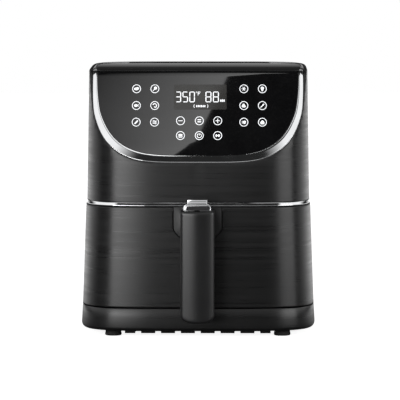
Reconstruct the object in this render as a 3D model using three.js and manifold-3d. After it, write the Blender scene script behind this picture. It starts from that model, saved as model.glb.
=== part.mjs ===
// Drawer air fryer: housing, sloped touch panel, pull-out drawer with basket, handle with guarded
// release button, spiral heater and two fans on one motor shaft.
// Millimetres, +Z up, front faces -Y, origin under the middle of the bounding box on the ground.

import * as THREE from "three";
import { mergeVertices } from "three/addons/utils/BufferGeometryUtils.js";
import Module from "manifold-3d";

// Housing outline
const baseWidth = 285;
const baseDepth = 308;
const bodyHeight = 320;
const upperHeight = 163.6;
const groundClearance = 7.1;
const seamHeight = 34.6;
const seamInset = 1.3;
const waistInset = 5.6;
const shellFootInset = 6.8;
const topInset = 9.3;
const stripHeight = 4.4;
const stripGap = 1.1;
const topEdgeDrop = 4.5;
const topEdgeInset = 3.6;
const topEdgeSteps = 2;
const baseEdgeRise = 4.6;
const baseEdgeInset = 3.4;
const planPower = 5;
const planPoints = 36;
const doorDepth = 80.3;
const doorCornerRadius = 10;

// Walls and clearances
const shellWall = 2.6;
const trayWall = 3;
const doorWall = 3;
const steelWall = 1.2;
const seatGap = 0.3;
const runGap = 0.8;
const cutOverrun = 40;
const cornerMerge = 1e-4;
const roundSides = 16;
const smallSides = 10;

// Control panel and its trim
const panelHeight = 107.5;
const panelSetback = 63;
const panelTiltDegrees = 31;
const panelFillet = 20;
const panelFootSlopeShare = 0.42;
const panelFilletSteps = 5;
const trimSideWidth = 3;
const trimFrontWidth = 2.6;
const trimThickness = 1.4;
const trimInnerPower = 4.4;
const shoulderWidth = 4.4;
const shoulderDrop = 50;
const panelThickness = 2.6;
const panelRecess = 0.5;
const panelGroove = 1.4;
const ledgeWidth = 4.5;
const ledgeThickness = 2.5;

// Feet and base plate
const footRadius = 10;
const footFlare = 1.2;
const footSideInset = 40.5;
const footEndInset = 27;
const basePlateSideInset = 54.5;
const basePlateEndInset = 23;
const basePlateThickness = 1.8;
const baseRibDepth = 2.4;
const baseRibPitch = 24;
const baseRibGap = 7;
const intakeSideMargin = 28;
const intakeEndMargin = 56;
const intakeSlots = 7;
const intakeSlotShare = 0.5;

// Drawer pan and basket
const panSideRoom = 14.9;
const panFrontRoom = 8.4;
const panRearRoom = 44.8;
const panFloorGap = 6.4;
const panRimDrop = 5.4;
const panRimWidth = 5.5;
const panRimThickness = 1.8;
const panTaper = 4;
const basketInset = 7;
const basketFloorGap = 9;
const basketRimRise = 2.2;
const basketRimWidth = 6;
const basketTaper = 6;
const basketPower = 5;
const basketHoleRadius = 5;
const basketHoleSides = 6;
const basketHolePitch = 29;
const basketHoleMargin = 28;
const bumperRadius = 4.5;
const bumperReachShare = 0.68;
const drawerRimThickness = 4.7;

// Drawer rails
const railHeight = 7;
const railLength = 150;

// Handle
const handleReach = 50;
const gripWidth = 40.5;
const gripDepth = 27;
const gripTopDrop = 1.2;
const gripBottom = 20.7;
const gripEndRise = 8.5;
const gripEndCornerShare = 0.3;
const gripEndFlatShare = 0.62;
const gripWall = 2.6;
const gripBevel = 2.2;
const gripBevelSteps = 2;
const gripCurveSteps = 8;
const gripBackDepth = 7.5;
const gripPlugDepth = 2;
const armWidth = 34;
const armNeckWidth = 29;
const armDrop = 33.2;
const armArch = 6;
const armEndInset = 3.2;
const shieldWidth = 57.6;
const shieldStraight = 24;
const shieldShoulder = 13;
const shieldWaistWidth = 38;
const shieldBottomDrop = 44;
const shieldGap = 0.6;
const shieldThickness = 2.6;
const hookWidth = 38;
const hookThickness = 2.4;
const upperScrewDrop = 18;
const lowerScrewRise = 14;
const screwRadius = 1.7;
const screwHeadRadius = 3.4;
const screwHeadHeight = 2;
const screwBossRadius = 4.4;

// Release button, spring, latch and guard
const buttonWidth = 18;
const buttonLength = 11;
const buttonCentreBack = 6.4;
const buttonRise = 3;
const buttonDepth = 6.6;
const buttonStemRadius = 2.6;
const wellDepth = 24.2;
const wellGap = 0.5;
const leverWidth = 8;
const leverThickness = 4;
const leverDrop = 16.6;
const leverTailLength = 14;
const leverHookDrop = 5;
const pivotBack = 15;
const pivotRadius = 2;
const leverSwing = 5;
const springRadius = 3.6;
const springWire = 0.9;
const springTurns = 3;
const springSteps = 6;
const springSides = 5;
const guardWidth = 32.6;
const guardBlockWidth = 23.6;
const guardLength = 24;
const guardShoulder = 6;
const guardFlangeRise = 8.4;
const guardRise = 13;
const guardWall = 1.7;
const guardTravel = 10;
const guardTongueWidth = 6;
const guardTongueLength = 4.5;
const guardFootWidth = 11;
const guardFootThickness = 2;

// Cooking chamber, heater and fans
const chamberInset = 6;
const chamberFloorGap = 1.7;
const chamberHeight = 62.4;
const chamberShoulder = 10;
const flangeThickness = 1.8;
const heaterRoom = 22.4;
const heaterTubeRadius = 3.3;
const heaterInnerRadius = 34;
const heaterWallRoom = 17;
const heaterArmTurns = 1.5;
const heaterStepsPerTurn = 15;
const heaterSides = 6;
const heaterBend = 9;
const heaterRise = 10;
const clipThickness = 1.6;
const clipDepth = 5.5;
const clipReach = 10;
const clipInnerReach = 6;
const clipLegWidth = 7;
const clipCount = 3;
const clipStartDegrees = 40;
const hotFanWallRoom = 35;
const hotFanRoofRoom = 12;
const hotFanHeight = 13;
const fanPlate = 1.6;
const fanBladeThickness = 1.6;
const hotFanBlades = 12;
const coolFanBlades = 9;
const bladeRootShare = 0.3;
const bladeSweepDegrees = 34;
const bladeSteps = 2;
const coolFanRadius = 56;
const coolFanRise = 7;
const coolFanHeight = 9;
const hubRadius = 9;
const shaftRadius = 4;
const shaftReach = 15;
const nutRadius = 7;
const nutHeight = 5;
const nutDome = 2.6;
const nutSides = 6;
const nutShoulderShare = 0.8;
const mountRise = 21;
const mountThickness = 2;
const mountRadius = 36;
const mountLegWidth = 16;
const mountLegRoom = 29;
const mountLegCount = 3;
const mountTurnDegrees = 30;
const motorRadius = 31;
const motorHeight = 33;
const motorRidgeHeight = 12;
const motorRidge = 3;
const shieldPlateInset = 3;
const shieldPlateThickness = 1.2;
const sensorRadius = 2.4;
const sensorLength = 30;
const sensorRoofRoom = 28;
const sensorFlange = 7;
const switchWidth = 12;
const switchLength = 14;
const switchHeight = 20;
const switchSide = 58;
const plungerWidth = 4;
const plungerTravel = 1.6;

// Boards, display, rear grille and cord gland
const boardThickness = 1.6;
const boardWidth = 176;
const boardFloorRoom = 18.6;
const boardDepth = 10.4;
const boardDrop = 22;
const displayWidth = 64;
const displayHeight = 31;
const displayDrop = 38;
const boardPostRadius = 3;
const boardPostInset = 7;
const powerBoardWidth = 110;
const powerBoardLength = 34;
const powerBoardRise = 10.5;
const capacitorRadius = 7;
const capacitorHeight = 18;
const coilBlockSize = 22;
const grilleWidth = 128;
const grilleHeight = 72;
const grilleDrop = 58;
const grilleThickness = 4;
const grilleSink = 1.6;
const louvreLean = 2.4;
const grilleFrame = 6;
const grilleSlats = 8;
const grilleSlatShare = 0.45;
const glandRadius = 9;
const glandBore = 3.6;
const glandFlange = 12;
const glandFlangeThickness = 2;
const glandLength = 16;
const glandRise = 31.4;
const glandSide = 62;

const wasm = await Module();
wasm.setup();

// Solids: closed triangle meshes with joined corners, cut and joined in pairs

function solid(geometry) {
  const bare = geometry.clone();
  bare.deleteAttribute("normal");
  bare.deleteAttribute("uv");
  const merged = mergeVertices(bare, cornerMerge);
  return new wasm.Manifold(
    new wasm.Mesh({
      numProp: 3,
      vertProperties: new Float32Array(merged.attributes.position.array),
      triVerts: new Uint32Array(merged.index.array),
    }),
  );
}

function geometryOf(shape) {
  const mesh = shape.getMesh();
  const geometry = new THREE.BufferGeometry();
  const corners = new Float32Array(mesh.vertProperties);
  geometry.setAttribute("position", new THREE.BufferAttribute(corners, 3));
  geometry.setIndex(new THREE.BufferAttribute(new Uint32Array(mesh.triVerts), 1));
  geometry.computeVertexNormals();
  return geometry;
}

const cut = (shape, ...others) => others.reduce((left, other) => left.subtract(other), shape);
const join = (shape, ...others) => others.reduce((left, other) => left.add(other), shape);
const common = (shape, ...others) => others.reduce((left, other) => left.intersect(other), shape);

function outline(points) {
  return new THREE.Shape(points.map(([u, v]) => new THREE.Vector2(u, v)));
}

function extruded(shape, depth, placing) {
  const settings = { depth, bevelEnabled: false, curveSegments: smallSides };
  const geometry = new THREE.ExtrudeGeometry(shape, settings);
  geometry.applyMatrix4(placing);
  return solid(geometry);
}

const axisX = new THREE.Vector3(1, 0, 0);
const axisY = new THREE.Vector3(0, 1, 0);
const axisZ = new THREE.Vector3(0, 0, 1);

// A prism with its outline in (y, z), running along X
function prismX(shape, x0, x1) {
  const placing = new THREE.Matrix4().makeBasis(axisY, axisZ, axisX);
  return extruded(shape, x1 - x0, placing.setPosition(x0, 0, 0));
}

// A prism with its outline in (x, z), running along Y
function prismY(shape, y0, y1) {
  const placing = new THREE.Matrix4().makeBasis(axisX, axisZ, axisY.clone().negate());
  return extruded(shape, y1 - y0, placing.setPosition(0, y1, 0));
}

// A prism with its outline in (x, y), running along Z
function prismZ(shape, z0, z1) {
  return extruded(shape, z1 - z0, new THREE.Matrix4().setPosition(0, 0, z0));
}

function block(x0, x1, y0, y1, z0, z1) {
  const geometry = new THREE.BoxGeometry(x1 - x0, y1 - y0, z1 - z0);
  geometry.translate((x0 + x1) / 2, (y0 + y1) / 2, (z0 + z1) / 2);
  return solid(geometry);
}

function rod(radius, length, sides, placing) {
  const geometry = new THREE.CylinderGeometry(radius, radius, length, sides);
  geometry.translate(0, length / 2, 0);
  geometry.applyMatrix4(placing);
  return solid(geometry);
}

function rodX(radius, x0, x1, y, z, sides = smallSides) {
  const placing = new THREE.Matrix4().makeRotationZ(-Math.PI / 2).setPosition(x0, y, z);
  return rod(radius, x1 - x0, sides, placing);
}

function rodY(radius, y0, y1, x, z, sides = smallSides) {
  return rod(radius, y1 - y0, sides, new THREE.Matrix4().setPosition(x, y0, z));
}

function rodZ(radius, z0, z1, x, y, sides = smallSides) {
  const placing = new THREE.Matrix4().makeRotationX(Math.PI / 2).setPosition(x, y, z0);
  return rod(radius, z1 - z0, sides, placing);
}

// A turned solid about Z from (radius, height) points that start and end on the axis
function turned(points, x, y, sides = roundSides) {
  const profile = points.map(([r, z]) => new THREE.Vector2(r, z));
  const geometry = new THREE.LatheGeometry(profile, sides);
  geometry.rotateX(Math.PI / 2);
  geometry.translate(x, y, 0);
  return solid(geometry);
}

// Plan: a rounded square (superellipse), sampled at even angles
function planPoint(turn, halfWidth, halfDepth, power) {
  const c = Math.cos(turn);
  const s = Math.sin(turn);
  const sum = Math.abs(c / halfWidth) ** power + Math.abs(s / halfDepth) ** power;
  const radius = sum ** (-1 / power);
  return [radius * c, radius * s];
}

// A closed loft through rounded-square rings given as { z, a, b }
function loft(rings, centreY, power = planPower) {
  const positions = [];
  const index = [];
  for (const { z, a, b } of rings) {
    for (let i = 0; i < planPoints; i++) {
      const [x, y] = planPoint((2 * Math.PI * (i + 0.5)) / planPoints, a, b, power);
      positions.push(x, y + centreY, z);
    }
  }
  for (let k = 0; k + 1 < rings.length; k++) {
    for (let i = 0; i < planPoints; i++) {
      const j = (i + 1) % planPoints;
      const low = k * planPoints;
      const high = low + planPoints;
      index.push(low + i, low + j, high + j, low + i, high + j, high + i);
    }
  }
  const last = (rings.length - 1) * planPoints;
  for (let i = 1; i + 1 < planPoints; i++) {
    index.push(0, i + 1, i);
    index.push(last, last + i, last + i + 1);
  }
  const geometry = new THREE.BufferGeometry();
  geometry.setAttribute("position", new THREE.Float32BufferAttribute(positions, 3));
  geometry.setIndex(index);
  return solid(geometry);
}

// A tube along a list of points, closed at both ends
function tubeAlong(points, radius, sides) {
  const positions = [];
  const index = [];
  const tangents = points.map((_, i) => {
    const before = points[Math.max(i - 1, 0)];
    const after = points[Math.min(i + 1, points.length - 1)];
    return after.clone().sub(before).normalize();
  });
  const upright = Math.abs(tangents[0].z) > Math.abs(tangents[0].x);
  let side = new THREE.Vector3().crossVectors(tangents[0], upright ? axisX : axisZ);
  points.forEach((point, i) => {
    const t = tangents[i];
    side = side.clone().addScaledVector(t, -side.dot(t)).normalize();
    const up = new THREE.Vector3().crossVectors(t, side);
    for (let k = 0; k < sides; k++) {
      const turn = (2 * Math.PI * k) / sides;
      const offset = side.clone().multiplyScalar(radius * Math.cos(turn));
      offset.addScaledVector(up, radius * Math.sin(turn));
      positions.push(...point.clone().add(offset).toArray());
    }
  });
  for (let i = 0; i + 1 < points.length; i++) {
    for (let k = 0; k < sides; k++) {
      const a = i * sides + k;
      const b = i * sides + ((k + 1) % sides);
      index.push(a, b, b + sides, a, b + sides, a + sides);
    }
  }
  const last = (points.length - 1) * sides;
  for (let k = 1; k + 1 < sides; k++) {
    index.push(0, k + 1, k);
    index.push(last, last + k, last + k + 1);
  }
  const geometry = new THREE.BufferGeometry();
  geometry.setAttribute("position", new THREE.Float32BufferAttribute(positions, 3));
  geometry.setIndex(index);
  return solid(geometry);
}

// Finishes

const finish = (color, roughness, metalness = 0) =>
  new THREE.MeshStandardMaterial({ color, roughness, metalness });
const satinBlack = finish(0x1c1c1e, 0.42);
const glossBlack = finish(0x070708, 0.08);
const mattBlack = finish(0x151516, 0.7);
const chrome = finish(0xdadde0, 0.08, 1);
const silver = finish(0xc4c7ca, 0.25, 0.9);
const coatedSteel = finish(0x2a2a2c, 0.5, 0.6);
const brightSteel = finish(0xb4b6b8, 0.32, 0.95);
const rubber = finish(0x121212, 0.9);
const boardGreen = finish(0x1f5a36, 0.6);
const darkMetal = finish(0x4a4c50, 0.45, 0.8);

const airFryer = new THREE.Group();

function piece(name, shape, material) {
  const mesh = new THREE.Mesh(geometryOf(shape), material);
  mesh.name = name;
  airFryer.add(mesh);
}

// Shared places, worked out from the driving dimensions

const bodyCentreY = handleReach / 2;
const handleFrontY = bodyCentreY - baseDepth / 2 - handleReach;
const waistHeight = bodyHeight - upperHeight;
const stripBottom = waistHeight + stripGap;
const stripTop = stripBottom + stripHeight;
const shellFoot = stripTop + seatGap;

const insetRings = [
  [groundClearance + baseEdgeRise, 0],
  [seamHeight, seamInset],
  [waistHeight, waistInset],
  [shellFoot, shellFootInset],
  [bodyHeight, topInset],
];

// How far the wall has drawn in from the base at a height
function insetAt(z) {
  let [lowZ, lowInset] = insetRings[0];
  if (z <= lowZ) {
    return lowInset;
  }
  for (const [highZ, highInset] of insetRings.slice(1)) {
    if (z <= highZ) {
      return lowInset + ((highInset - lowInset) * (z - lowZ)) / (highZ - lowZ);
    }
    lowZ = highZ;
    lowInset = highInset;
  }
  return lowInset;
}

const halfWidthAt = (z) => baseWidth / 2 - insetAt(z);
const halfDepthAt = (z) => baseDepth / 2 - insetAt(z);
const frontAt = (z) => bodyCentreY - halfDepthAt(z);
const rearAt = (z) => bodyCentreY + halfDepthAt(z);

// The housing's outer form between two heights, drawn in by a wall on every side
function bodyForm(z0, z1, inX, inY = inX) {
  const heights = [z0, ...insetRings.map(([z]) => z).filter((z) => z > z0 && z < z1), z1];
  const rings = heights.map((z) => ({ z, a: halfWidthAt(z) - inX, b: halfDepthAt(z) - inY }));
  return loft(rings, bodyCentreY);
}

// The form inside which the trim, the panel and the top lie: the housing's own form up to the
// shoulder's foot, and from there drawn in steadily by the shoulder
function trimForm(inX, inY, power) {
  const heights = [stripTop, bodyHeight - shoulderDrop, bodyHeight];
  const rings = heights.map((z, i) => {
    const shoulder = i === heights.length - 1 ? shoulderWidth : 0;
    return { z, a: halfWidthAt(z) - shoulder - inX, b: halfDepthAt(z) - shoulder - inY };
  });
  return loft(rings, bodyCentreY, power);
}

// The same form with its top edge rounded over
function roundedTop(z0, inX, inY = inX) {
  const a = (z) => halfWidthAt(z) - inX;
  const b = (z) => halfDepthAt(z) - inY;
  const rings = [z0, bodyHeight - topEdgeDrop].map((z) => ({ z, a: a(z), b: b(z) }));
  for (let i = 1; i <= topEdgeSteps; i++) {
    const turn = (Math.PI / 2) * (i / topEdgeSteps);
    const z = bodyHeight - topEdgeDrop * (1 - Math.sin(turn));
    const inset = topEdgeInset * (1 - Math.cos(turn));
    rings.push({ z, a: a(z) - inset, b: b(z) - inset });
  }
  return loft(rings, bodyCentreY);
}

// Skin: the flat top and the sloped front, as a region seen from the side.
// Moving it by (setIn, -drop) sinks both faces by the same thickness.
const tilt = THREE.MathUtils.degToRad(panelTiltDegrees);
const panelFootHeight = bodyHeight - panelHeight;
const panelFootY = frontAt(panelFootHeight);
const panelTopY = panelFootY + panelSetback;
const sinkShare = (1 - Math.sin(tilt)) / Math.cos(tilt);

function underSkin(drop) {
  const slope = Math.tan(tilt);
  const filletIn = panelSetback - (bodyHeight - panelFootHeight - panelFillet) * slope;
  const cornerRise = (slope * panelFillet - filletIn) / (slope - panelFootSlopeShare);
  const filletTop = new THREE.Vector2(panelFootY + filletIn, panelFootHeight + panelFillet);
  const filletFoot = new THREE.Vector2(panelFootY, panelFootHeight);
  const corner = new THREE.Vector2(cornerRise * panelFootSlopeShare, cornerRise).add(filletFoot);
  const curve = new THREE.QuadraticBezierCurve(filletTop, corner, filletFoot);
  const points = curve.getPoints(panelFilletSteps).map(({ x, y }) => [x, y]);
  const lean = new THREE.Vector2().subVectors(filletFoot, corner).setLength(cutOverrun);
  points.push([filletFoot.x + lean.x, filletFoot.y + lean.y]);
  const far = baseDepth;
  const profile = [
    [far, 0],
    [far, bodyHeight],
    [panelTopY, bodyHeight],
    ...points,
    [-far, points.at(-1)[1]],
    [-far, 0],
  ];
  const moved = profile.map(([y, z]) => [y + drop * sinkShare, z - drop]);
  return prismX(outline(moved), -baseWidth, baseWidth);
}

// Door zone: the front stretch below the waist that the drawer front fills, with its rounded lower
// rear corners, grown all round by a gap
const doorSeamY = frontAt(waistHeight) + doorDepth;

function doorZone(grow, top) {
  const bottom = seamHeight - grow;
  const rear = doorSeamY + grow;
  const radius = doorCornerRadius + grow;
  const shape = new THREE.Shape();
  shape.moveTo(-baseDepth, bottom);
  shape.lineTo(rear - radius, bottom);
  shape.absarc(rear - radius, bottom + radius, radius, -Math.PI / 2, 0);
  shape.lineTo(rear, top);
  shape.lineTo(-baseDepth, top);
  return prismX(shape, -baseWidth, baseWidth);
}

// Base tray, vented base plate and feet

const trayRings = (inset, floor) =>
  [
    [floor, baseEdgeInset],
    [floor + baseEdgeRise, 0],
    [seamHeight - seatGap, 0],
  ].map(([z, edge]) => ({ z, a: halfWidthAt(z) - edge - inset, b: halfDepthAt(z) - edge - inset }));
const trayOuter = loft(trayRings(0, groundClearance), bodyCentreY);
const trayInner = bodyForm(groundClearance + trayWall, seamHeight + cutOverrun, trayWall + baseEdgeInset);
const basePlateWidth = baseWidth - 2 * basePlateSideInset;
const basePlateLength = baseDepth - 2 * basePlateEndInset;
const intakeWidth = basePlateWidth - 2 * intakeSideMargin;
const intakeLength = basePlateLength - 2 * intakeEndMargin;
const intake = block(
  -intakeWidth / 2,
  intakeWidth / 2,
  bodyCentreY - intakeLength / 2,
  bodyCentreY + intakeLength / 2,
  0,
  seamHeight,
);
piece("base_tray", cut(trayOuter, trayInner, intake), satinBlack);

const plateTop = groundClearance - seatGap;
const plateBottom = plateTop - basePlateThickness;
let basePlate = block(
  -basePlateWidth / 2,
  basePlateWidth / 2,
  bodyCentreY - basePlateLength / 2,
  bodyCentreY + basePlateLength / 2,
  plateBottom - baseRibDepth,
  plateTop,
);
const ribCount = Math.floor(basePlateWidth / baseRibPitch);
for (let i = 0; i < ribCount; i++) {
  const x = (i - (ribCount - 1) / 2) * baseRibPitch;
  const groove = block(
    x - baseRibGap / 2,
    x + baseRibGap / 2,
    bodyCentreY - basePlateLength,
    bodyCentreY + basePlateLength,
    0,
    plateBottom,
  );
  basePlate = cut(basePlate, groove);
}
const slotPitch = intakeLength / intakeSlots;
for (let i = 0; i < intakeSlots; i++) {
  const y = bodyCentreY + (i - (intakeSlots - 1) / 2) * slotPitch;
  const half = (slotPitch * intakeSlotShare) / 2;
  const slot = block(-intakeWidth / 2, intakeWidth / 2, y - half, y + half, 0, plateTop + cutOverrun);
  basePlate = cut(basePlate, slot);
}
piece("base_plate", basePlate, mattBlack);

const footTop = groundClearance - seatGap;
const footSide = baseWidth / 2 - footSideInset;
const frontFootY = frontAt(groundClearance) + footEndInset;
const rearFootY = rearAt(groundClearance) - footEndInset;
for (const [name, x, y] of [
  ["foot_front_left", -footSide, frontFootY],
  ["foot_front_right", footSide, frontFootY],
  ["foot_rear_left", -footSide, rearFootY],
  ["foot_rear_right", footSide, rearFootY],
]) {
  const profile = [
    [0, 0],
    [footRadius - footFlare, 0],
    [footRadius, footFlare],
    [footRadius - footFlare, footTop],
    [0, footTop],
  ];
  piece(name, turned(profile, x, y), rubber);
}

// Main shell with its ledge for the panel and the top, and its openings

const skin = underSkin(0);
const ledgeDrop = panelRecess + panelThickness + seatGap;
const cappedForm = common(roundedTop(seamHeight, 0), skin);
const trimBed = cut(trimForm(-seatGap, -seatGap, planPower), underSkin(trimThickness + seatGap));
const panelBed = cut(trimForm(trimSideWidth, trimFrontWidth, trimInnerPower), underSkin(ledgeDrop));
const ledgeRing = cut(
  common(cappedForm, bodyForm(stripTop, bodyHeight, 0)),
  underSkin(ledgeDrop + ledgeThickness),
  trimForm(trimSideWidth + ledgeWidth, trimFrontWidth + ledgeWidth, trimInnerPower),
);
const grilleCentre = bodyHeight - grilleDrop;
const glandHeight = seamHeight + glandRise;
const grilleBox = (grow, y0, y1) =>
  block(
    -grilleWidth / 2 - grow,
    grilleWidth / 2 + grow,
    y0,
    y1,
    grilleCentre - grilleHeight / 2 - grow,
    grilleCentre + grilleHeight / 2 + grow,
  );
const rearWallY = rearAt(grilleCentre);
const shellInner = bodyForm(seamHeight - cutOverrun, bodyHeight + cutOverrun, shellWall);
const mainShell = cut(
  join(cut(cappedForm, shellInner), ledgeRing),
  trimBed,
  panelBed,
  doorZone(0, shellFoot),
  grilleBox(seatGap, rearWallY - cutOverrun, rearWallY + cutOverrun),
  rodY(
    glandRadius + seatGap,
    rearAt(glandHeight) - cutOverrun,
    rearAt(glandHeight) + cutOverrun,
    glandSide,
    glandHeight,
    roundSides,
  ),
);
piece("main_shell", mainShell, satinBlack);

// Chrome trim round the panel and the top, the gloss panel and the top cover

piece(
  "panel_trim",
  cut(
    common(trimForm(0, 0, planPower), skin),
    underSkin(trimThickness),
    trimForm(trimSideWidth, trimFrontWidth, trimInnerPower),
  ),
  chrome,
);

const panelPlan = trimForm(trimSideWidth + seatGap, trimFrontWidth + seatGap, trimInnerPower);
const panelSlab = cut(common(panelPlan, underSkin(panelRecess)), underSkin(panelRecess + panelThickness));
const grooveCentre = panelTopY + panelRecess * sinkShare;
const ahead = (y) => block(-baseWidth, baseWidth, -baseDepth, y, 0, bodyHeight + cutOverrun);
piece("control_panel", common(panelSlab, ahead(grooveCentre - panelGroove / 2)), glossBlack);
piece("top_cover", cut(panelSlab, ahead(grooveCentre + panelGroove / 2)), glossBlack);

// Chrome strip above the drawer

const stripBand = cut(
  bodyForm(stripBottom, stripTop, 0),
  bodyForm(stripBottom - cutOverrun, stripTop + cutOverrun, shellWall),
);
piece("waist_strip", common(stripBand, ahead(doorSeamY - seatGap)), chrome);

// Drawer front, its rim, the pan and the basket

const shieldOutline = (grow) => {
  const half = shieldWidth / 2 + grow;
  const waist = shieldWaistWidth / 2 + grow;
  const top = waistHeight;
  const straightZ = top - shieldStraight;
  const shoulderZ = straightZ - shieldShoulder;
  const bendZ = straightZ - shieldShoulder / 2;
  const shape = new THREE.Shape();
  shape.moveTo(-half, top + cutOverrun);
  shape.lineTo(-half, straightZ);
  shape.quadraticCurveTo(-half, bendZ, -waist, shoulderZ);
  shape.quadraticCurveTo(0, top - shieldBottomDrop - grow, waist, shoulderZ);
  shape.quadraticCurveTo(half, bendZ, half, straightZ);
  shape.lineTo(half, top + cutOverrun);
  return shape;
};
const shieldPrism = (grow, inset, top) =>
  common(
    prismY(shieldOutline(grow), frontAt(waistHeight) - cutOverrun, frontAt(waistHeight) + cutOverrun),
    bodyForm(seamHeight, top, inset),
  );

const doorForm = common(bodyForm(seamHeight - cutOverrun, waistHeight, 0), doorZone(-runGap, waistHeight));
piece(
  "drawer_front",
  cut(
    doorForm,
    bodyForm(seamHeight + doorWall, waistHeight + cutOverrun, doorWall),
    prismY(shieldOutline(shieldGap), frontAt(waistHeight) - cutOverrun, frontAt(waistHeight) + cutOverrun),
  ),
  satinBlack,
);

const panFrontY = frontAt(waistHeight) + doorWall + panFrontRoom;
const panRearY = rearAt(waistHeight) - shellWall - panRearRoom;
const drawerCentreY = (panFrontY + panRearY) / 2;
const panHalfWidth = halfWidthAt(waistHeight) - doorWall - panSideRoom;
const panHalfDepth = (panRearY - panFrontY) / 2;
const panHalfLeast = Math.min(panHalfWidth, panHalfDepth);
const panFloorHeight = seamHeight + panFloorGap;
const panRimHeight = waistHeight - panRimDrop;

// A rounded square form round the drawer's middle, from [height, how far in from the pan's wall] pairs
const panLoft = (rings) =>
  loft(
    rings.map(([z, inset]) => ({ z, a: panHalfWidth - inset, b: panHalfDepth - inset })),
    drawerCentreY,
    basketPower,
  );
const panOuter = panLoft([
  [panFloorHeight, panTaper],
  [panRimHeight, 0],
]);
const panInner = panLoft([
  [panFloorHeight + steelWall, panTaper + steelWall],
  [panRimHeight + cutOverrun, steelWall],
]);
const panRim = panLoft([
  [panRimHeight - panRimThickness, -panRimWidth],
  [panRimHeight, -panRimWidth],
]);
piece("drawer_pan", cut(join(panOuter, panRim), panInner), coatedSteel);

const basketFloorHeight = panFloorHeight + basketFloorGap;
const basketRimHeight = panRimHeight + basketRimRise;
const basketFloorInset = basketInset + basketTaper;
const basketRimInset = basketInset - basketRimWidth;
const basketOuter = panLoft([
  [basketFloorHeight, basketFloorInset],
  [basketRimHeight, basketInset],
]);
const basketInner = panLoft([
  [basketFloorHeight + steelWall, basketFloorInset + steelWall],
  [basketRimHeight + cutOverrun, basketInset + steelWall],
]);
const basketRim = panLoft([
  [panRimHeight + seatGap, basketRimInset],
  [basketRimHeight, basketRimInset],
]);
let basket = cut(join(basketOuter, basketRim), basketInner);
const holeRow = (half) => {
  const count = Math.floor((2 * (half - basketFloorInset - basketHoleMargin)) / basketHolePitch) + 1;
  return Array.from({ length: count }, (_, i) => (i - (count - 1) / 2) * basketHolePitch);
};
for (const x of holeRow(panHalfWidth)) {
  for (const y of holeRow(panHalfDepth)) {
    const low = basketFloorHeight - steelWall;
    const high = basketFloorHeight + 2 * steelWall;
    basket = cut(basket, rodZ(basketHoleRadius, low, high, x, drawerCentreY + y, basketHoleSides));
  }
}
piece("basket", basket, coatedSteel);

const bumperX = (panHalfWidth - basketFloorInset) * bumperReachShare;
const bumperY = (panHalfDepth - basketFloorInset) * bumperReachShare;
for (const [name, sideX, sideY] of [
  ["basket_bumper_front_left", -1, -1],
  ["basket_bumper_front_right", 1, -1],
  ["basket_bumper_rear_left", -1, 1],
  ["basket_bumper_rear_right", 1, 1],
]) {
  const x = sideX * bumperX;
  const y = drawerCentreY + sideY * bumperY;
  const low = panFloorHeight + steelWall + seatGap;
  piece(name, rodZ(bumperRadius, low, basketFloorHeight - seatGap, x, y), rubber);
}

const rimTop = waistHeight - seatGap;
const hookBottom = rimTop - hookThickness;
const rimBottom = rimTop - drawerRimThickness;
const rimHole = panLoft([
  [rimBottom - cutOverrun, basketRimInset - seatGap],
  [rimTop + cutOverrun, basketRimInset - seatGap],
]);
piece(
  "drawer_rim",
  cut(
    common(bodyForm(rimBottom, rimTop, doorWall + seatGap), ahead(doorSeamY - runGap)),
    rimHole,
    block(-hookWidth / 2 - seatGap, hookWidth / 2 + seatGap, -baseDepth, 0, hookBottom - seatGap, bodyHeight),
  ),
  mattBlack,
);

// Rails for the pan's rim

const railTop = panRimHeight - panRimThickness - seatGap;
const railForm = bodyForm(railTop - railHeight, railTop, shellWall + seatGap);
for (const [name, side] of [
  ["drawer_rail_left", -1],
  ["drawer_rail_right", 1],
]) {
  const inner = side * (panHalfWidth + seatGap);
  const outer = side * baseWidth;
  const y0 = doorSeamY + runGap;
  const bar = block(Math.min(inner, outer), Math.max(inner, outer), y0, y0 + railLength, 0, bodyHeight);
  piece(name, common(railForm, bar), mattBlack);
}

// Handle: front shell, back shell and the arm that joins them to the drawer

const gripTop = waistHeight - gripTopDrop;
const armBottom = gripTop - armDrop;
const gripOutline = (inset, top) => {
  const half = gripWidth / 2 - inset;
  const low = gripBottom + inset;
  const rise = gripEndRise;
  const shape = new THREE.Shape();
  shape.moveTo(-half, top);
  shape.lineTo(-half, low + rise);
  const cornerZ = low + rise * gripEndCornerShare;
  const flat = half * gripEndFlatShare;
  shape.bezierCurveTo(-half, cornerZ, -flat, low, 0, low);
  shape.bezierCurveTo(flat, low, half, cornerZ, half, low + rise);
  shape.lineTo(half, top);
  return shape;
};
const gripBackY = handleFrontY + gripDepth;
const gripSplitY = gripBackY - gripBackDepth;
const gripFrontEnd = gripSplitY - seatGap;
const gripFront = new THREE.ExtrudeGeometry(gripOutline(gripBevel, gripTop - gripBevel), {
  depth: gripFrontEnd - handleFrontY - gripBevel,
  bevelEnabled: true,
  bevelSize: gripBevel,
  bevelThickness: gripBevel,
  bevelSegments: gripBevelSteps,
  curveSegments: gripCurveSteps,
});
gripFront.applyMatrix4(
  new THREE.Matrix4().makeBasis(axisX, axisZ, axisY.clone().negate()).setPosition(0, gripFrontEnd, 0),
);
const gripShape = common(solid(gripFront), ahead(gripFrontEnd));
const gripCavity = prismY(
  gripOutline(gripWall, gripTop - gripWall),
  handleFrontY + gripWall,
  gripBackY + cutOverrun,
);
const armFrontY = handleFrontY + gripWall + armEndInset;
const buttonY = gripBackY - buttonCentreBack + buttonLength / 2;
const buttonBox = (grow, z0, z1) =>
  block(
    -buttonWidth / 2 - grow,
    buttonWidth / 2 + grow,
    buttonY - buttonLength / 2 - grow,
    buttonY + buttonLength / 2 + grow,
    z0,
    z1,
  );
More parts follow.
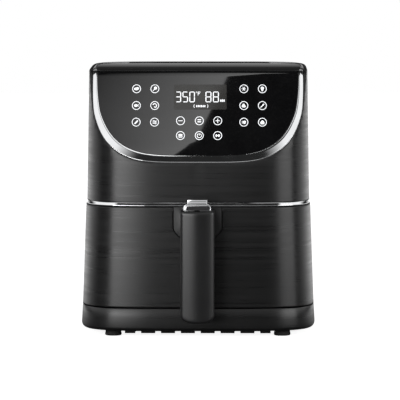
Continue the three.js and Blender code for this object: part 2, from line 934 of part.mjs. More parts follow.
const armZone = (grow) =>
  block(-armWidth / 2 - grow, armWidth / 2 + grow, armFrontY - grow, baseDepth, armBottom - grow, bodyHeight);
const screwHeights = [armBottom - upperScrewDrop, gripBottom + lowerScrewRise];
const bossWall = 2 * gripWall;
const bossEnd = gripSplitY - gripPlugDepth - seatGap;
const tongueFrontY = handleFrontY + gripWall + guardTravel;
const guardSlot = block(
  -guardTongueWidth / 2 - seatGap,
  guardTongueWidth / 2 + seatGap,
  tongueFrontY - guardTravel - seatGap,
  tongueFrontY + guardTongueLength + seatGap,
  gripTop - bossWall,
  gripTop + cutOverrun,
);
let handleGrip = cut(gripShape, gripCavity);
for (const z of screwHeights) {
  handleGrip = join(handleGrip, rodY(screwBossRadius, handleFrontY + gripWall / 2, bossEnd, 0, z));
}
for (const z of screwHeights) {
  handleGrip = cut(handleGrip, rodY(screwRadius + seatGap, handleFrontY + bossWall, gripBackY, 0, z));
}
piece("handle_grip", cut(handleGrip, guardSlot, buttonBox(wellGap, armBottom, bodyHeight)), satinBlack);

const plugInset = gripWall + seatGap;
let handleBack = join(
  prismY(gripOutline(0, gripTop), gripSplitY, gripBackY),
  prismY(gripOutline(plugInset, gripTop - plugInset), gripSplitY - gripPlugDepth, gripBackY - gripPlugDepth),
);
for (const z of screwHeights) {
  const bore = rodY(screwRadius + seatGap, gripSplitY - cutOverrun, gripBackY + cutOverrun, 0, z);
  const seatY = gripBackY - screwHeadHeight - seatGap;
  const headSeat = rodY(screwHeadRadius + seatGap, seatY, gripBackY + cutOverrun, 0, z);
  handleBack = cut(handleBack, bore, headSeat);
}
piece("handle_back", cut(handleBack, armZone(seatGap)), satinBlack);
screwHeights.forEach((z, i) => {
  const shank = rodY(screwRadius, handleFrontY + bossWall + seatGap, gripBackY - screwHeadHeight / 2, 0, z);
  const head = rodY(screwHeadRadius, gripBackY - screwHeadHeight, gripBackY, 0, z);
  piece(`handle_screw_${i === 0 ? "upper" : "lower"}`, join(shank, head), brightSteel);
});

// Bracket: the shield let into the drawer front, the arm inside the handle and the hook on the basket rim

const pivotY = buttonY + pivotBack;
const leverHeight = gripTop - leverDrop;
const wellFloor = gripTop - wellDepth;
const shieldPlate = cut(
  shieldPrism(0, seatGap, waistHeight),
  bodyForm(seamHeight - cutOverrun, bodyHeight, seatGap + shieldThickness),
  block(-baseWidth, baseWidth, bodyCentreY - baseDepth / 4, baseDepth, 0, bodyHeight),
);
const shieldBackY = frontAt(waistHeight) + shieldThickness;
const armShelf = gripTop - gripWall - guardFootThickness - runGap;
const arm = block(-armWidth / 2, armWidth / 2, armFrontY, shieldBackY, armBottom, armShelf);
const armCapY = gripSplitY + seatGap;
const armCap = block(-armWidth / 2, armWidth / 2, armCapY, shieldBackY, armBottom, gripTop);
const gapMiddle = (gripBackY + frontAt(armBottom)) / 2;
const archHalf = (frontAt(armBottom) - gripBackY) / 2 - seatGap;
const archShape = new THREE.Shape();
archShape.absellipse(gapMiddle, armBottom, archHalf, armArch, 0, 2 * Math.PI);
const neckEndY = frontAt(armBottom) - seatGap;
const neckSides = block(armNeckWidth / 2, armWidth, gripBackY + seatGap, neckEndY, 0, bodyHeight);
const hook = block(
  -hookWidth / 2,
  hookWidth / 2,
  shieldBackY - shieldThickness,
  panFrontY + basketInset + hookThickness,
  Math.max(hookBottom, basketRimHeight + seatGap),
  rimTop,
);
const pivotZ = leverHeight;
const leverSlot = block(
  -leverWidth / 2 - wellGap,
  leverWidth / 2 + wellGap,
  buttonY - buttonLength / 2 - wellGap,
  shieldBackY + cutOverrun,
  wellFloor,
  leverHeight + leverThickness + leverSwing,
);
const handleBracket = cut(
  join(shieldPlate, arm, armCap, hook),
  prismX(archShape, -armWidth, armWidth),
  neckSides,
  neckSides.mirror([1, 0, 0]),
  buttonBox(wellGap, wellFloor, bodyHeight),
  leverSlot,
  rodX(pivotRadius + seatGap, -armWidth, armWidth, pivotY, pivotZ),
);
piece("handle_bracket", handleBracket, satinBlack);

piece("latch_pin", rodX(pivotRadius, -armNeckWidth / 2, armNeckWidth / 2, pivotY, pivotZ), brightSteel);
const leverProfile = outline([
  [buttonY - springRadius, leverHeight - leverThickness / 2],
  [pivotY - leverThickness, leverHeight - leverThickness],
  [pivotY + leverThickness, leverHeight - leverThickness],
  [pivotY + leverTailLength, leverHeight - leverThickness / 2],
  [pivotY + leverTailLength, leverHeight - leverHookDrop],
  [pivotY + leverTailLength + leverThickness / 2, leverHeight - leverHookDrop],
  [pivotY + leverTailLength + leverThickness, leverHeight],
  [pivotY + leverTailLength + leverThickness / 2, leverHeight + leverThickness / 2],
  [pivotY + leverThickness, leverHeight + leverThickness],
  [pivotY - leverThickness, leverHeight + leverThickness],
  [buttonY + springRadius, leverHeight + leverThickness / 2],
  [buttonY - springRadius, leverHeight + leverThickness / 2],
]);
piece(
  "latch_lever",
  cut(
    prismX(leverProfile, -leverWidth / 2, leverWidth / 2),
    rodX(pivotRadius + seatGap, -leverWidth, leverWidth, pivotY, pivotZ),
  ),
  darkMetal,
);
const leverTop = leverHeight + leverThickness / 2;
const buttonBottom = gripTop - buttonDepth;
piece(
  "release_button",
  join(
    buttonBox(0, buttonBottom, gripTop + buttonRise),
    rodZ(buttonStemRadius, leverTop + seatGap, buttonBottom + seatGap, 0, buttonY),
  ),
  silver,
);
const springLow = wellFloor + seatGap + springWire;
const springHigh = leverHeight - leverThickness / 2 - seatGap - springWire;
const springPoints = [];
for (let i = 0; i <= springTurns * springSteps; i++) {
  const share = i / (springTurns * springSteps);
  const turn = 2 * Math.PI * springTurns * share;
  springPoints.push(
    new THREE.Vector3(
      springRadius * Math.cos(turn),
      buttonY + springRadius * Math.sin(turn),
      springLow + (springHigh - springLow) * share,
    ),
  );
}
piece("button_spring", tubeAlong(springPoints, springWire / 2, springSides), brightSteel);

// Guard that slides forward off the button: shouldered flange, raised block and a T foot in the grip's slot

const guardRearY = buttonY + buttonLength / 2 + guardWall;
const guardFrontY = guardRearY - guardLength;
const guardBottom = gripTop + seatGap;
const guardFlangeTop = gripTop + guardFlangeRise;
const guardTop = gripTop + guardRise;
const guardShape = new THREE.Shape();
const guardHalf = guardWidth / 2;
guardShape.moveTo(-guardHalf, guardBottom);
guardShape.lineTo(-guardHalf, guardFlangeTop - guardShoulder);
guardShape.quadraticCurveTo(-guardHalf, guardFlangeTop, -guardHalf + guardShoulder, guardFlangeTop);
guardShape.lineTo(guardHalf - guardShoulder, guardFlangeTop);
guardShape.quadraticCurveTo(guardHalf, guardFlangeTop, guardHalf, guardFlangeTop - guardShoulder);
guardShape.lineTo(guardHalf, guardBottom);
const guardBlock = block(
  -guardBlockWidth / 2,
  guardBlockWidth / 2,
  guardFrontY + guardWall,
  guardRearY,
  guardFlangeTop - guardWall,
  guardTop,
);
const guardHollow = block(
  -buttonWidth / 2 - runGap,
  buttonWidth / 2 + runGap,
  buttonY - buttonLength / 2 - runGap,
  guardRearY + cutOverrun,
  guardBottom - gripWall,
  guardTop - guardWall,
);
const guardTongue = block(
  -guardTongueWidth / 2,
  guardTongueWidth / 2,
  tongueFrontY,
  tongueFrontY + guardTongueLength,
  gripTop - gripWall - guardFootThickness,
  guardBottom + guardWall,
);
const guardFoot = block(
  -guardFootWidth / 2,
  guardFootWidth / 2,
  tongueFrontY,
  tongueFrontY + guardTongueLength,
  gripTop - gripWall - seatGap - guardFootThickness,
  gripTop - gripWall - seatGap,
);
const guardCap = cut(join(prismY(guardShape, guardFrontY, guardRearY), guardBlock), guardHollow);
piece("button_guard", join(guardCap, guardTongue, guardFoot), silver);

// Cooking chamber, heat shield, heater and its clips

const chamberFloor = stripTop + chamberFloorGap;
const chamberTop = chamberFloor + chamberHeight;
const shoulderInset = chamberInset + chamberShoulder / 2;
const chamberOuter = panLoft([
  [chamberFloor, chamberInset],
  [chamberTop - chamberShoulder, chamberInset],
  [chamberTop, shoulderInset],
]);
const chamberInner = panLoft([
  [chamberFloor - cutOverrun, chamberInset + steelWall],
  [chamberTop - chamberShoulder, chamberInset + steelWall],
  [chamberTop - steelWall, shoulderInset + steelWall],
]);
const chamberFlange = bodyForm(chamberFloor, chamberFloor + flangeThickness, shellWall + seatGap);
const chamberHalfLeast = panHalfLeast - chamberInset;
const heaterHeight = chamberFloor + heaterRoom;
const heaterOuterRadius = chamberHalfLeast - heaterWallRoom;
const heaterPath = [];
const armSteps = heaterArmTurns * heaterStepsPerTurn;
const armPoint = (share, side) => {
  const turn = 2 * Math.PI * heaterArmTurns * share;
  const radius = heaterInnerRadius + (heaterOuterRadius - heaterInnerRadius) * share;
  return new THREE.Vector3(
    side * radius * Math.cos(turn),
    drawerCentreY + side * radius * Math.sin(turn),
    heaterHeight,
  );
};
const riser = (side) => {
  const end = armPoint(1, side);
  const along = armPoint(1, side).sub(armPoint(1 - 1 / armSteps, side)).normalize();
  const bend = end.clone().addScaledVector(along, heaterBend / 2);
  const foot = end.clone().addScaledVector(along, heaterBend);
  return [
    bend,
    foot.clone().add(new THREE.Vector3(0, 0, heaterBend / 3)),
    foot.clone().addScaledVector(along, heaterBend / 3).setZ(heaterHeight + heaterBend),
    foot.clone().addScaledVector(along, heaterBend / 3).setZ(chamberTop + heaterRise),
  ];
};
heaterPath.push(...riser(1).reverse());
for (let i = armSteps; i >= 0; i--) {
  heaterPath.push(armPoint(i / armSteps, 1));
}
const innerStart = armPoint(0, 1);
const innerEnd = armPoint(0, -1);
const bendSteps = 8;
const bendCurve = new THREE.CubicBezierCurve3(
  innerStart,
  innerStart.clone().add(new THREE.Vector3(0, -heaterInnerRadius, 0)),
  innerEnd.clone().add(new THREE.Vector3(0, heaterInnerRadius, 0)),
  innerEnd,
);
heaterPath.push(...bendCurve.getPoints(bendSteps).slice(1, -1));
for (let i = 0; i <= armSteps; i++) {
  heaterPath.push(armPoint(i / armSteps, -1));
}
heaterPath.push(...riser(-1));

const shaftHole = (z0, z1) => rodZ(shaftRadius + runGap, z0, z1, 0, drawerCentreY, roundSides);
const riserHoles = [heaterPath[0], heaterPath.at(-1)].map(({ x, y }) =>
  rodZ(heaterTubeRadius + runGap, chamberTop - chamberShoulder, chamberTop + heaterRise, x, y),
);
const chamberSideX = panHalfWidth - chamberInset;
const sensorX = chamberSideX - steelWall;
const sensorHeight = chamberTop - sensorRoofRoom;
piece(
  "inner_chamber",
  cut(
    join(chamberOuter, chamberFlange),
    chamberInner,
    shaftHole(chamberTop - cutOverrun, chamberTop + cutOverrun),
    ...riserHoles,
    rodX(sensorRadius + seatGap, sensorX - cutOverrun, sensorX + cutOverrun, drawerCentreY, sensorHeight),
  ),
  brightSteel,
);
piece("heater_element", tubeAlong(heaterPath, heaterTubeRadius, heaterSides), darkMetal);

const clipInnerRadius = heaterInnerRadius - clipInnerReach;
const clipOuterRadius = heaterOuterRadius + clipReach;
const clipLow = heaterHeight - clipDepth;
const clipHigh = heaterHeight + clipDepth;
for (let i = 0; i < clipCount; i++) {
  const half = clipThickness / 2;
  const legTop = chamberTop - steelWall - seatGap;
  const bar = block(clipInnerRadius, clipOuterRadius, -half, half, clipLow, clipHigh);
  const leg = block(clipOuterRadius - clipLegWidth, clipOuterRadius, -half, half, clipLow, legTop);
  const turn = clipStartDegrees + (360 * i) / clipCount;
  const clip = join(bar, leg).rotate([0, 0, turn]).translate([0, drawerCentreY, 0]);
  const seat = tubeAlong(heaterPath, heaterTubeRadius + seatGap, heaterSides);
  piece(`heater_clip_${i + 1}`, cut(clip, seat), brightSteel);
}

const shieldLow = chamberTop + seatGap;
const shieldHigh = shieldLow + shieldPlateThickness;
piece(
  "heat_shield",
  cut(
    panLoft([
      [shieldLow, shieldPlateInset],
      [shieldHigh, shieldPlateInset],
    ]),
    shaftHole(chamberTop, chamberTop + cutOverrun),
    ...[heaterPath[0], heaterPath.at(-1)].map(({ x, y }) =>
      rodZ(heaterTubeRadius + runGap, chamberTop, chamberTop + heaterRise, x, y),
    ),
  ),
  brightSteel,
);

const sensorStem = rodX(
  sensorRadius,
  sensorX - sensorLength,
  chamberSideX + sensorFlange,
  drawerCentreY,
  sensorHeight,
);
const sensorCollar = rodX(
  sensorFlange,
  chamberSideX + seatGap,
  chamberSideX + seatGap + steelWall,
  drawerCentreY,
  sensorHeight,
);
piece("temperature_sensor", join(sensorStem, sensorCollar), brightSteel);

// Fans, shaft, motor and its mount

function impeller(radius, plateTop, plateBottom, bladeBottom, hubBottom, blades) {
  const plate = rodZ(radius, plateBottom, plateTop, 0, 0, 2 * smallSides);
  const hub = rodZ(hubRadius, hubBottom, plateTop, 0, 0, roundSides);
  const sweep = THREE.MathUtils.degToRad(bladeSweepDegrees);
  const root = radius * bladeRootShare;
  const tip = radius - fanBladeThickness;
  const side = (shift) =>
    Array.from({ length: bladeSteps + 1 }, (_, i) => {
      const share = i / bladeSteps;
      const reach = root + (tip - root) * share;
      const turn = sweep * share * share + shift / reach;
      return [reach * Math.cos(turn), reach * Math.sin(turn)];
    });
  const blade = prismZ(
    outline([...side(-fanBladeThickness / 2), ...side(fanBladeThickness / 2).reverse()]),
    bladeBottom,
    (plateTop + plateBottom) / 2,
  );
  let wheel = join(plate, hub);
  for (let i = 0; i < blades; i++) {
    wheel = join(wheel, blade.rotate([0, 0, (360 * i) / blades]));
  }
  const bore = rodZ(shaftRadius + seatGap, hubBottom - cutOverrun, plateTop + cutOverrun, 0, 0, roundSides);
  return cut(wheel, bore).translate([0, drawerCentreY, 0]);
}

const hotFanTop = chamberTop - hotFanRoofRoom;
const hotFanRadius = chamberHalfLeast - hotFanWallRoom;
const hubBottom = hotFanTop - hotFanHeight - fanPlate;
piece(
  "hot_air_fan",
  impeller(hotFanRadius, hotFanTop, hotFanTop - fanPlate, hotFanTop - hotFanHeight, hubBottom, hotFanBlades),
  brightSteel,
);
const coolFanBottom = chamberTop + coolFanRise;
const coolFanTop = coolFanBottom + coolFanHeight;
piece(
  "cooling_fan",
  impeller(coolFanRadius, coolFanTop, coolFanTop - fanPlate, coolFanBottom, coolFanBottom, coolFanBlades),
  mattBlack,
);
const nutTop = hubBottom - seatGap;
const nutBottom = nutTop - nutHeight;
const nutBody = rodZ(nutRadius, nutBottom, nutTop, 0, drawerCentreY, nutSides);
const nutCap = turned(
  [
    [0, nutBottom - nutDome],
    [nutRadius / 2, nutBottom - nutDome / 2],
    [nutRadius * nutShoulderShare, nutBottom + seatGap],
    [0, nutBottom + seatGap],
  ],
  0,
  drawerCentreY,
  smallSides,
);
const nutBore = rodZ(shaftRadius + seatGap, nutBottom, nutTop + cutOverrun, 0, drawerCentreY, roundSides);
piece("fan_nut", cut(join(nutBody, nutCap), nutBore), brightSteel);
const mountHeight = chamberTop + mountRise;
const mountLegReach = chamberHalfLeast - mountLegRoom;
const shaftTop = mountHeight + shaftReach;
const motorShaft = rodZ(shaftRadius, nutBottom + seatGap, shaftTop, 0, drawerCentreY, roundSides);
piece("motor_shaft", motorShaft, brightSteel);

const mountTop = mountHeight + mountThickness;
let motorMount = rodZ(mountRadius, mountHeight, mountTop, 0, 0, roundSides);
for (let i = 0; i < mountLegCount; i++) {
  const arm = block(0, mountLegReach, -mountLegWidth / 2, mountLegWidth / 2, mountHeight, mountTop);
  const leg = block(
    mountLegReach - mountThickness,
    mountLegReach,
    -mountLegWidth / 2,
    mountLegWidth / 2,
    shieldHigh + seatGap,
    mountTop,
  );
  const foot = block(
    mountLegReach - mountThickness,
    mountLegReach + mountLegWidth / 2,
    -mountLegWidth / 2,
    mountLegWidth / 2,
    shieldHigh + seatGap,
    shieldHigh + seatGap + mountThickness,
  );
  const turn = mountTurnDegrees + (360 * i) / mountLegCount;
  motorMount = join(motorMount, join(arm, leg, foot).rotate([0, 0, turn]));
}
motorMount = motorMount.translate([0, drawerCentreY, 0]);
piece("motor_mount", cut(motorMount, shaftHole(mountHeight - cutOverrun, mountTop + cutOverrun)), darkMetal);
const motorLow = mountTop + seatGap;
const motorHigh = motorLow + motorHeight;
const ridgeMiddle = (motorLow + motorHigh) / 2;
piece(
  "fan_motor",
  cut(
    turned(
      [
        [0, motorLow],
        [motorRadius - motorRidge, motorLow],
        [motorRadius - motorRidge, ridgeMiddle - motorRidgeHeight / 2],
        [motorRadius, ridgeMiddle - motorRidgeHeight / 2],
        [motorRadius, ridgeMiddle + motorRidgeHeight / 2],
        [motorRadius - motorRidge, ridgeMiddle + motorRidgeHeight / 2],
        [motorRadius - motorRidge, motorHigh - motorRidge],
        [motorRadius / 2, motorHigh],
        [0, motorHigh],
      ],
      0,
      drawerCentreY,
    ),
    rodZ(shaftRadius + seatGap, motorLow - cutOverrun, shaftTop + seatGap, 0, drawerCentreY, roundSides),
  ),
  darkMetal,
);

// Drawer switch, pressed by the pan's rim when the drawer is shut

const panRimBackY = panRearY + panRimWidth;
const switchFrontY = panRimBackY + plungerTravel;
const switchTop = chamberFloor - seatGap;
piece(
  "drawer_switch",
  join(
    block(
      switchSide - switchWidth / 2,
      switchSide + switchWidth / 2,
      switchFrontY,
      switchFrontY + switchLength,
      switchTop - switchHeight,
      switchTop,
    ),
    block(
      switchSide - plungerWidth / 2,
      switchSide + plungerWidth / 2,
      panRimBackY + seatGap,
      switchFrontY + seatGap,
      panRimHeight - panRimThickness,
      panRimHeight,
    ),
  ),
  mattBlack,
);

// Boards and display, in a frame that lies on the panel: x across, u up the slope, w out of it

const panelFrame = new THREE.Matrix4().makeBasis(
  axisX,
  new THREE.Vector3(0, Math.sin(tilt), Math.cos(tilt)),
  new THREE.Vector3(0, -Math.cos(tilt), Math.sin(tilt)),
);
panelFrame.setPosition(0, panelTopY, bodyHeight);

function onPanel(halfX, u0, u1, w0, w1) {
  const geometry = new THREE.BoxGeometry(2 * halfX, u1 - u0, w1 - w0);
  geometry.translate(0, (u0 + u1) / 2, (w0 + w1) / 2);
  geometry.applyMatrix4(panelFrame);
  return solid(geometry);
}

const panelBack = -(panelRecess + panelThickness + seatGap);
const boardHeight = (bodyHeight - chamberTop - boardFloorRoom) / Math.cos(tilt) - boardDrop;
const boardBack = -boardDepth - boardThickness;
let controlBoard = onPanel(boardWidth / 2, -boardDrop - boardHeight, -boardDrop, boardBack, -boardDepth);
for (const sideX of [-1, 1]) {
  for (const u of [-boardDrop - boardPostInset, -boardDrop - boardHeight + boardPostInset]) {
    const postFoot = (boardBack - boardDepth) / 2;
    const postLength = panelBack - postFoot;
    const post = new THREE.CylinderGeometry(boardPostRadius, boardPostRadius, postLength, smallSides);
    post.rotateX(Math.PI / 2);
    post.translate(sideX * (boardWidth / 2 - boardPostInset), u, (panelBack + postFoot) / 2);
    post.applyMatrix4(panelFrame);
    controlBoard = join(controlBoard, solid(post));
  }
}
piece("control_board", controlBoard, boardGreen);
piece(
  "display_module",
  onPanel(
    displayWidth / 2,
    -displayDrop - displayHeight / 2,
    -displayDrop + displayHeight / 2,
    -boardDepth + seatGap,
    panelBack,
  ),
  mattBlack,
);

const powerBoardHeight = shieldHigh + powerBoardRise;
const powerBoardY = drawerCentreY + mountLegReach - boardThickness;
let powerBoard = block(
  -powerBoardWidth / 2,
  powerBoardWidth / 2,
  powerBoardY,
  powerBoardY + powerBoardLength,
  powerBoardHeight,
  powerBoardHeight + boardThickness,
);
for (const sideX of [-1, 1]) {
  for (const y of [powerBoardY + boardPostInset, powerBoardY + powerBoardLength - boardPostInset]) {
    const x = sideX * (powerBoardWidth / 2 - boardPostInset);
    const postTop = powerBoardHeight + boardThickness / 2;
    powerBoard = join(powerBoard, rodZ(boardPostRadius, shieldHigh + seatGap, postTop, x, y));
  }
}
const partY = powerBoardY + powerBoardLength / 2;
powerBoard = join(
  powerBoard,
  rodZ(capacitorRadius, powerBoardHeight, powerBoardHeight + capacitorHeight, -powerBoardWidth / 4, partY),
  block(
    powerBoardWidth / 4 - coilBlockSize / 2,
    powerBoardWidth / 4 + coilBlockSize / 2,
    partY - coilBlockSize / 2,
    partY + coilBlockSize / 2,
    powerBoardHeight,
    powerBoardHeight + capacitorHeight,
  ),
);
piece("power_board", powerBoard, boardGreen);

// Rear exhaust grille and cord gland

const grilleOuterY = rearAt(grilleCentre + grilleHeight / 2) - grilleSink;
const grilleInnerY = grilleOuterY - grilleThickness;
let grille = grilleBox(0, grilleInnerY, grilleOuterY);
const slatPitch = (grilleHeight - 2 * grilleFrame) / grilleSlats;
const louvreHalf = (slatPitch * (1 - grilleSlatShare)) / 2;
for (let i = 0; i < grilleSlats; i++) {
  const z = grilleCentre + (i - (grilleSlats - 1) / 2) * slatPitch;
  const louvre = outline([
    [grilleInnerY - grilleThickness, z - louvreHalf + louvreLean],
    [grilleOuterY + grilleThickness, z - louvreHalf - louvreLean],
    [grilleOuterY + grilleThickness, z + louvreHalf - louvreLean],
    [grilleInnerY - grilleThickness, z + louvreHalf + louvreLean],
  ]);
  grille = cut(grille, prismX(louvre, -grilleWidth / 2 + grilleFrame, grilleWidth / 2 - grilleFrame));
}
piece("rear_grille", grille, mattBlack);

const glandOuterY = rearAt(glandHeight) + seatGap;
piece(
  "cord_gland",
  cut(
    join(
      rodY(glandRadius, glandOuterY - glandLength, glandOuterY + seatGap, glandSide, glandHeight, roundSides),
      rodY(glandFlange, glandOuterY, glandOuterY + glandFlangeThickness, glandSide, glandHeight, roundSides),
    ),
    rodY(glandBore, glandOuterY - cutOverrun, glandOuterY + cutOverrun, glandSide, glandHeight, smallSides),
  ),
  rubber,
);

export default airFryer;
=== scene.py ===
"""A drawer air fryer, dressed for its picture: housing, touch panel, drawer, handle and cooking system.

Lengths are millimetres in the shared frame (+Z up, the front faces -Y), and become metres when a mesh is made.
Every new piece is a function of two parameters worked out as whole arrays.
"""

import logging
from dataclasses import dataclass
from enum import Enum
from functools import reduce
from typing import Callable, Sequence

import bmesh
import bpy
import numpy as np
from mathutils import Matrix, Vector
from mathutils.geometry import delaunay_2d_cdt


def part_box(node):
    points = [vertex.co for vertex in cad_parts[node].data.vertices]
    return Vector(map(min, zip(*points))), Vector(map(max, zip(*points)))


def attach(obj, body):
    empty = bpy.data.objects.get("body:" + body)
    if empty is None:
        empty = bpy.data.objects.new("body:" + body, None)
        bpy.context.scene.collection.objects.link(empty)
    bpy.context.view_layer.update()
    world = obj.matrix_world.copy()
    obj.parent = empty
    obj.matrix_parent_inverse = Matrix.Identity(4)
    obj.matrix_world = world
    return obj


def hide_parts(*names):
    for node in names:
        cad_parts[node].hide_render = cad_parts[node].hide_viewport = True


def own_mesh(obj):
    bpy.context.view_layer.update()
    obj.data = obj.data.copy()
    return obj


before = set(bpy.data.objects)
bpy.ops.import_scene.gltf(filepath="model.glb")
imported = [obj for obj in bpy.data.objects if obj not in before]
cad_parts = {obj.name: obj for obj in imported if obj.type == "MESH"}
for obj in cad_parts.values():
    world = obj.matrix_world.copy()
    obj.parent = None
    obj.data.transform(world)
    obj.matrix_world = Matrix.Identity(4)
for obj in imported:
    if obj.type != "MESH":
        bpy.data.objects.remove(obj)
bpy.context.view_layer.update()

LOG = logging.getLogger("air_fryer")
MM = 0.001
SHARP = 38.0  # degrees: steeper edges stay crisp
SAME_POINT = 2e-6  # metres: closer points are one
NO_LENGTH = 1e-6  # metres: shorter edges are dissolved
CORNERS = ("front_left", "front_right", "rear_left", "rear_right")
DUST = (0.32, 0.31, 0.3, 1.0)
Array = np.ndarray
Surface = Callable[[Array, Array], Array]
Socket = bpy.types.NodeSocket
Triple = tuple[float, float, float]
Pair = tuple[float, float]
Quad = tuple[float, float, float, float]
Value = Array | float


# ---------------------------------------------------------------- finishes


class Grain(Enum):
    """The fine structure that a finish shows."""

    STREAKS = "streaks"
    MOULDED = "moulded"
    SPECKLED = "speckled"
    BRUSHED = "brushed"
    POLISHED = "polished"
    BOARD = "board"


def shade_of(grey: float) -> Quad:
    """A grey as a full colour."""
    return grey, grey, grey, 1.0


class Tree:
    """A short way to place and link the nodes of one shader or group."""

    def __init__(self, nodes: bpy.types.NodeTree) -> None:
        """Keeps the tree that the nodes go into."""
        self.tree = nodes

    def add(self, kind: str, links: dict | None = None, **settings: object) -> bpy.types.Node:
        """Adds one node.

        Args:
            kind: the node's type name.
            links: socket name or number to a value or to another node's output.
            **settings: properties of the node.

        Returns:
            The new node.
        """
        node = self.tree.nodes.new(kind)
        for name, value in settings.items():
            setattr(node, name, value)
        for name, value in (links or {}).items():
            self.put(value, node.inputs[name])
        return node

    def put(self, value: object, socket: Socket) -> None:
        """Links an output to a socket, or sets the socket to a plain value."""
        if isinstance(value, Socket):
            self.tree.links.new(value, socket)
        else:
            socket.default_value = value

    def math(self, kind: str, *values: object) -> Socket:
        """Returns what a Math node makes of the values."""
        return self.add("ShaderNodeMath", dict(enumerate(values)), operation=kind).outputs[0]

    def folded(self, kind: str, *values: object) -> Socket:
        """Returns the values joined one after the other by Math nodes of one kind."""
        return reduce(lambda one, two: self.math(kind, one, two), values)

    def mix(self, share: object, low: object, high: object) -> Socket:
        """Returns a colour between low and high by the share."""
        return self.add("ShaderNodeMix", {0: share, 6: low, 7: high}, data_type="RGBA").outputs[2]

    def ranged(self, value: object, low: float, high: float, start: float = 0.0, stop: float = 1.0) -> Socket:
        """Returns the value carried from start..stop to low..high."""
        return self.add("ShaderNodeMapRange", {0: value, 1: start, 2: stop, 3: low, 4: high}).outputs[0]

    def for_camera(self, seen: Socket, others: Socket, camera: float) -> Socket:
        """Returns one value for camera rays and another for all others."""
        return self.add("ShaderNodeMix", {0: seen, 2: others, 3: camera}, data_type="FLOAT").outputs[0]

    def split(self, vector: Socket) -> list[Socket]:
        """Returns the three parts of a vector."""
        return list(self.add("ShaderNodeSeparateXYZ", {0: vector}).outputs)

    def noise(self, place: Socket, scale: object, detail: float, roughness: float = 0.5) -> Socket:
        """Returns noise at a place."""
        links = {"Vector": place, "Scale": scale, "Detail": detail, "Roughness": roughness}
        return self.add("ShaderNodeTexNoise", links).outputs[0]


class MaskGroup(Tree):
    """A shader group in the making: from one amount and the Object coordinates to its masks."""

    def __init__(self, name: str, given: str = "Density", made: Sequence[str] = ("Mask", "Height")) -> None:
        """Makes the group with its sockets.

        Args:
            name: the group's name.
            given: the input's name.
            made: the outputs' names.
        """
        super().__init__(bpy.data.node_groups.new(name, "ShaderNodeTree"))
        for side, names in (("INPUT", [given]), ("OUTPUT", made)):
            for socket in names:
                self.tree.interface.new_socket(name=socket, in_out=side, socket_type="NodeSocketFloat")
        self.amount = self.add("NodeGroupInput").outputs[0]
        self.out = self.add("NodeGroupOutput")
        self.place = self.add("ShaderNodeTexCoord").outputs["Object"]

    def closed(self, *made: Socket) -> bpy.types.NodeTree:
        """Links what was made to the outputs and returns the group."""
        for value, socket in zip(made, self.out.inputs):
            self.put(value, socket)
        return self.tree


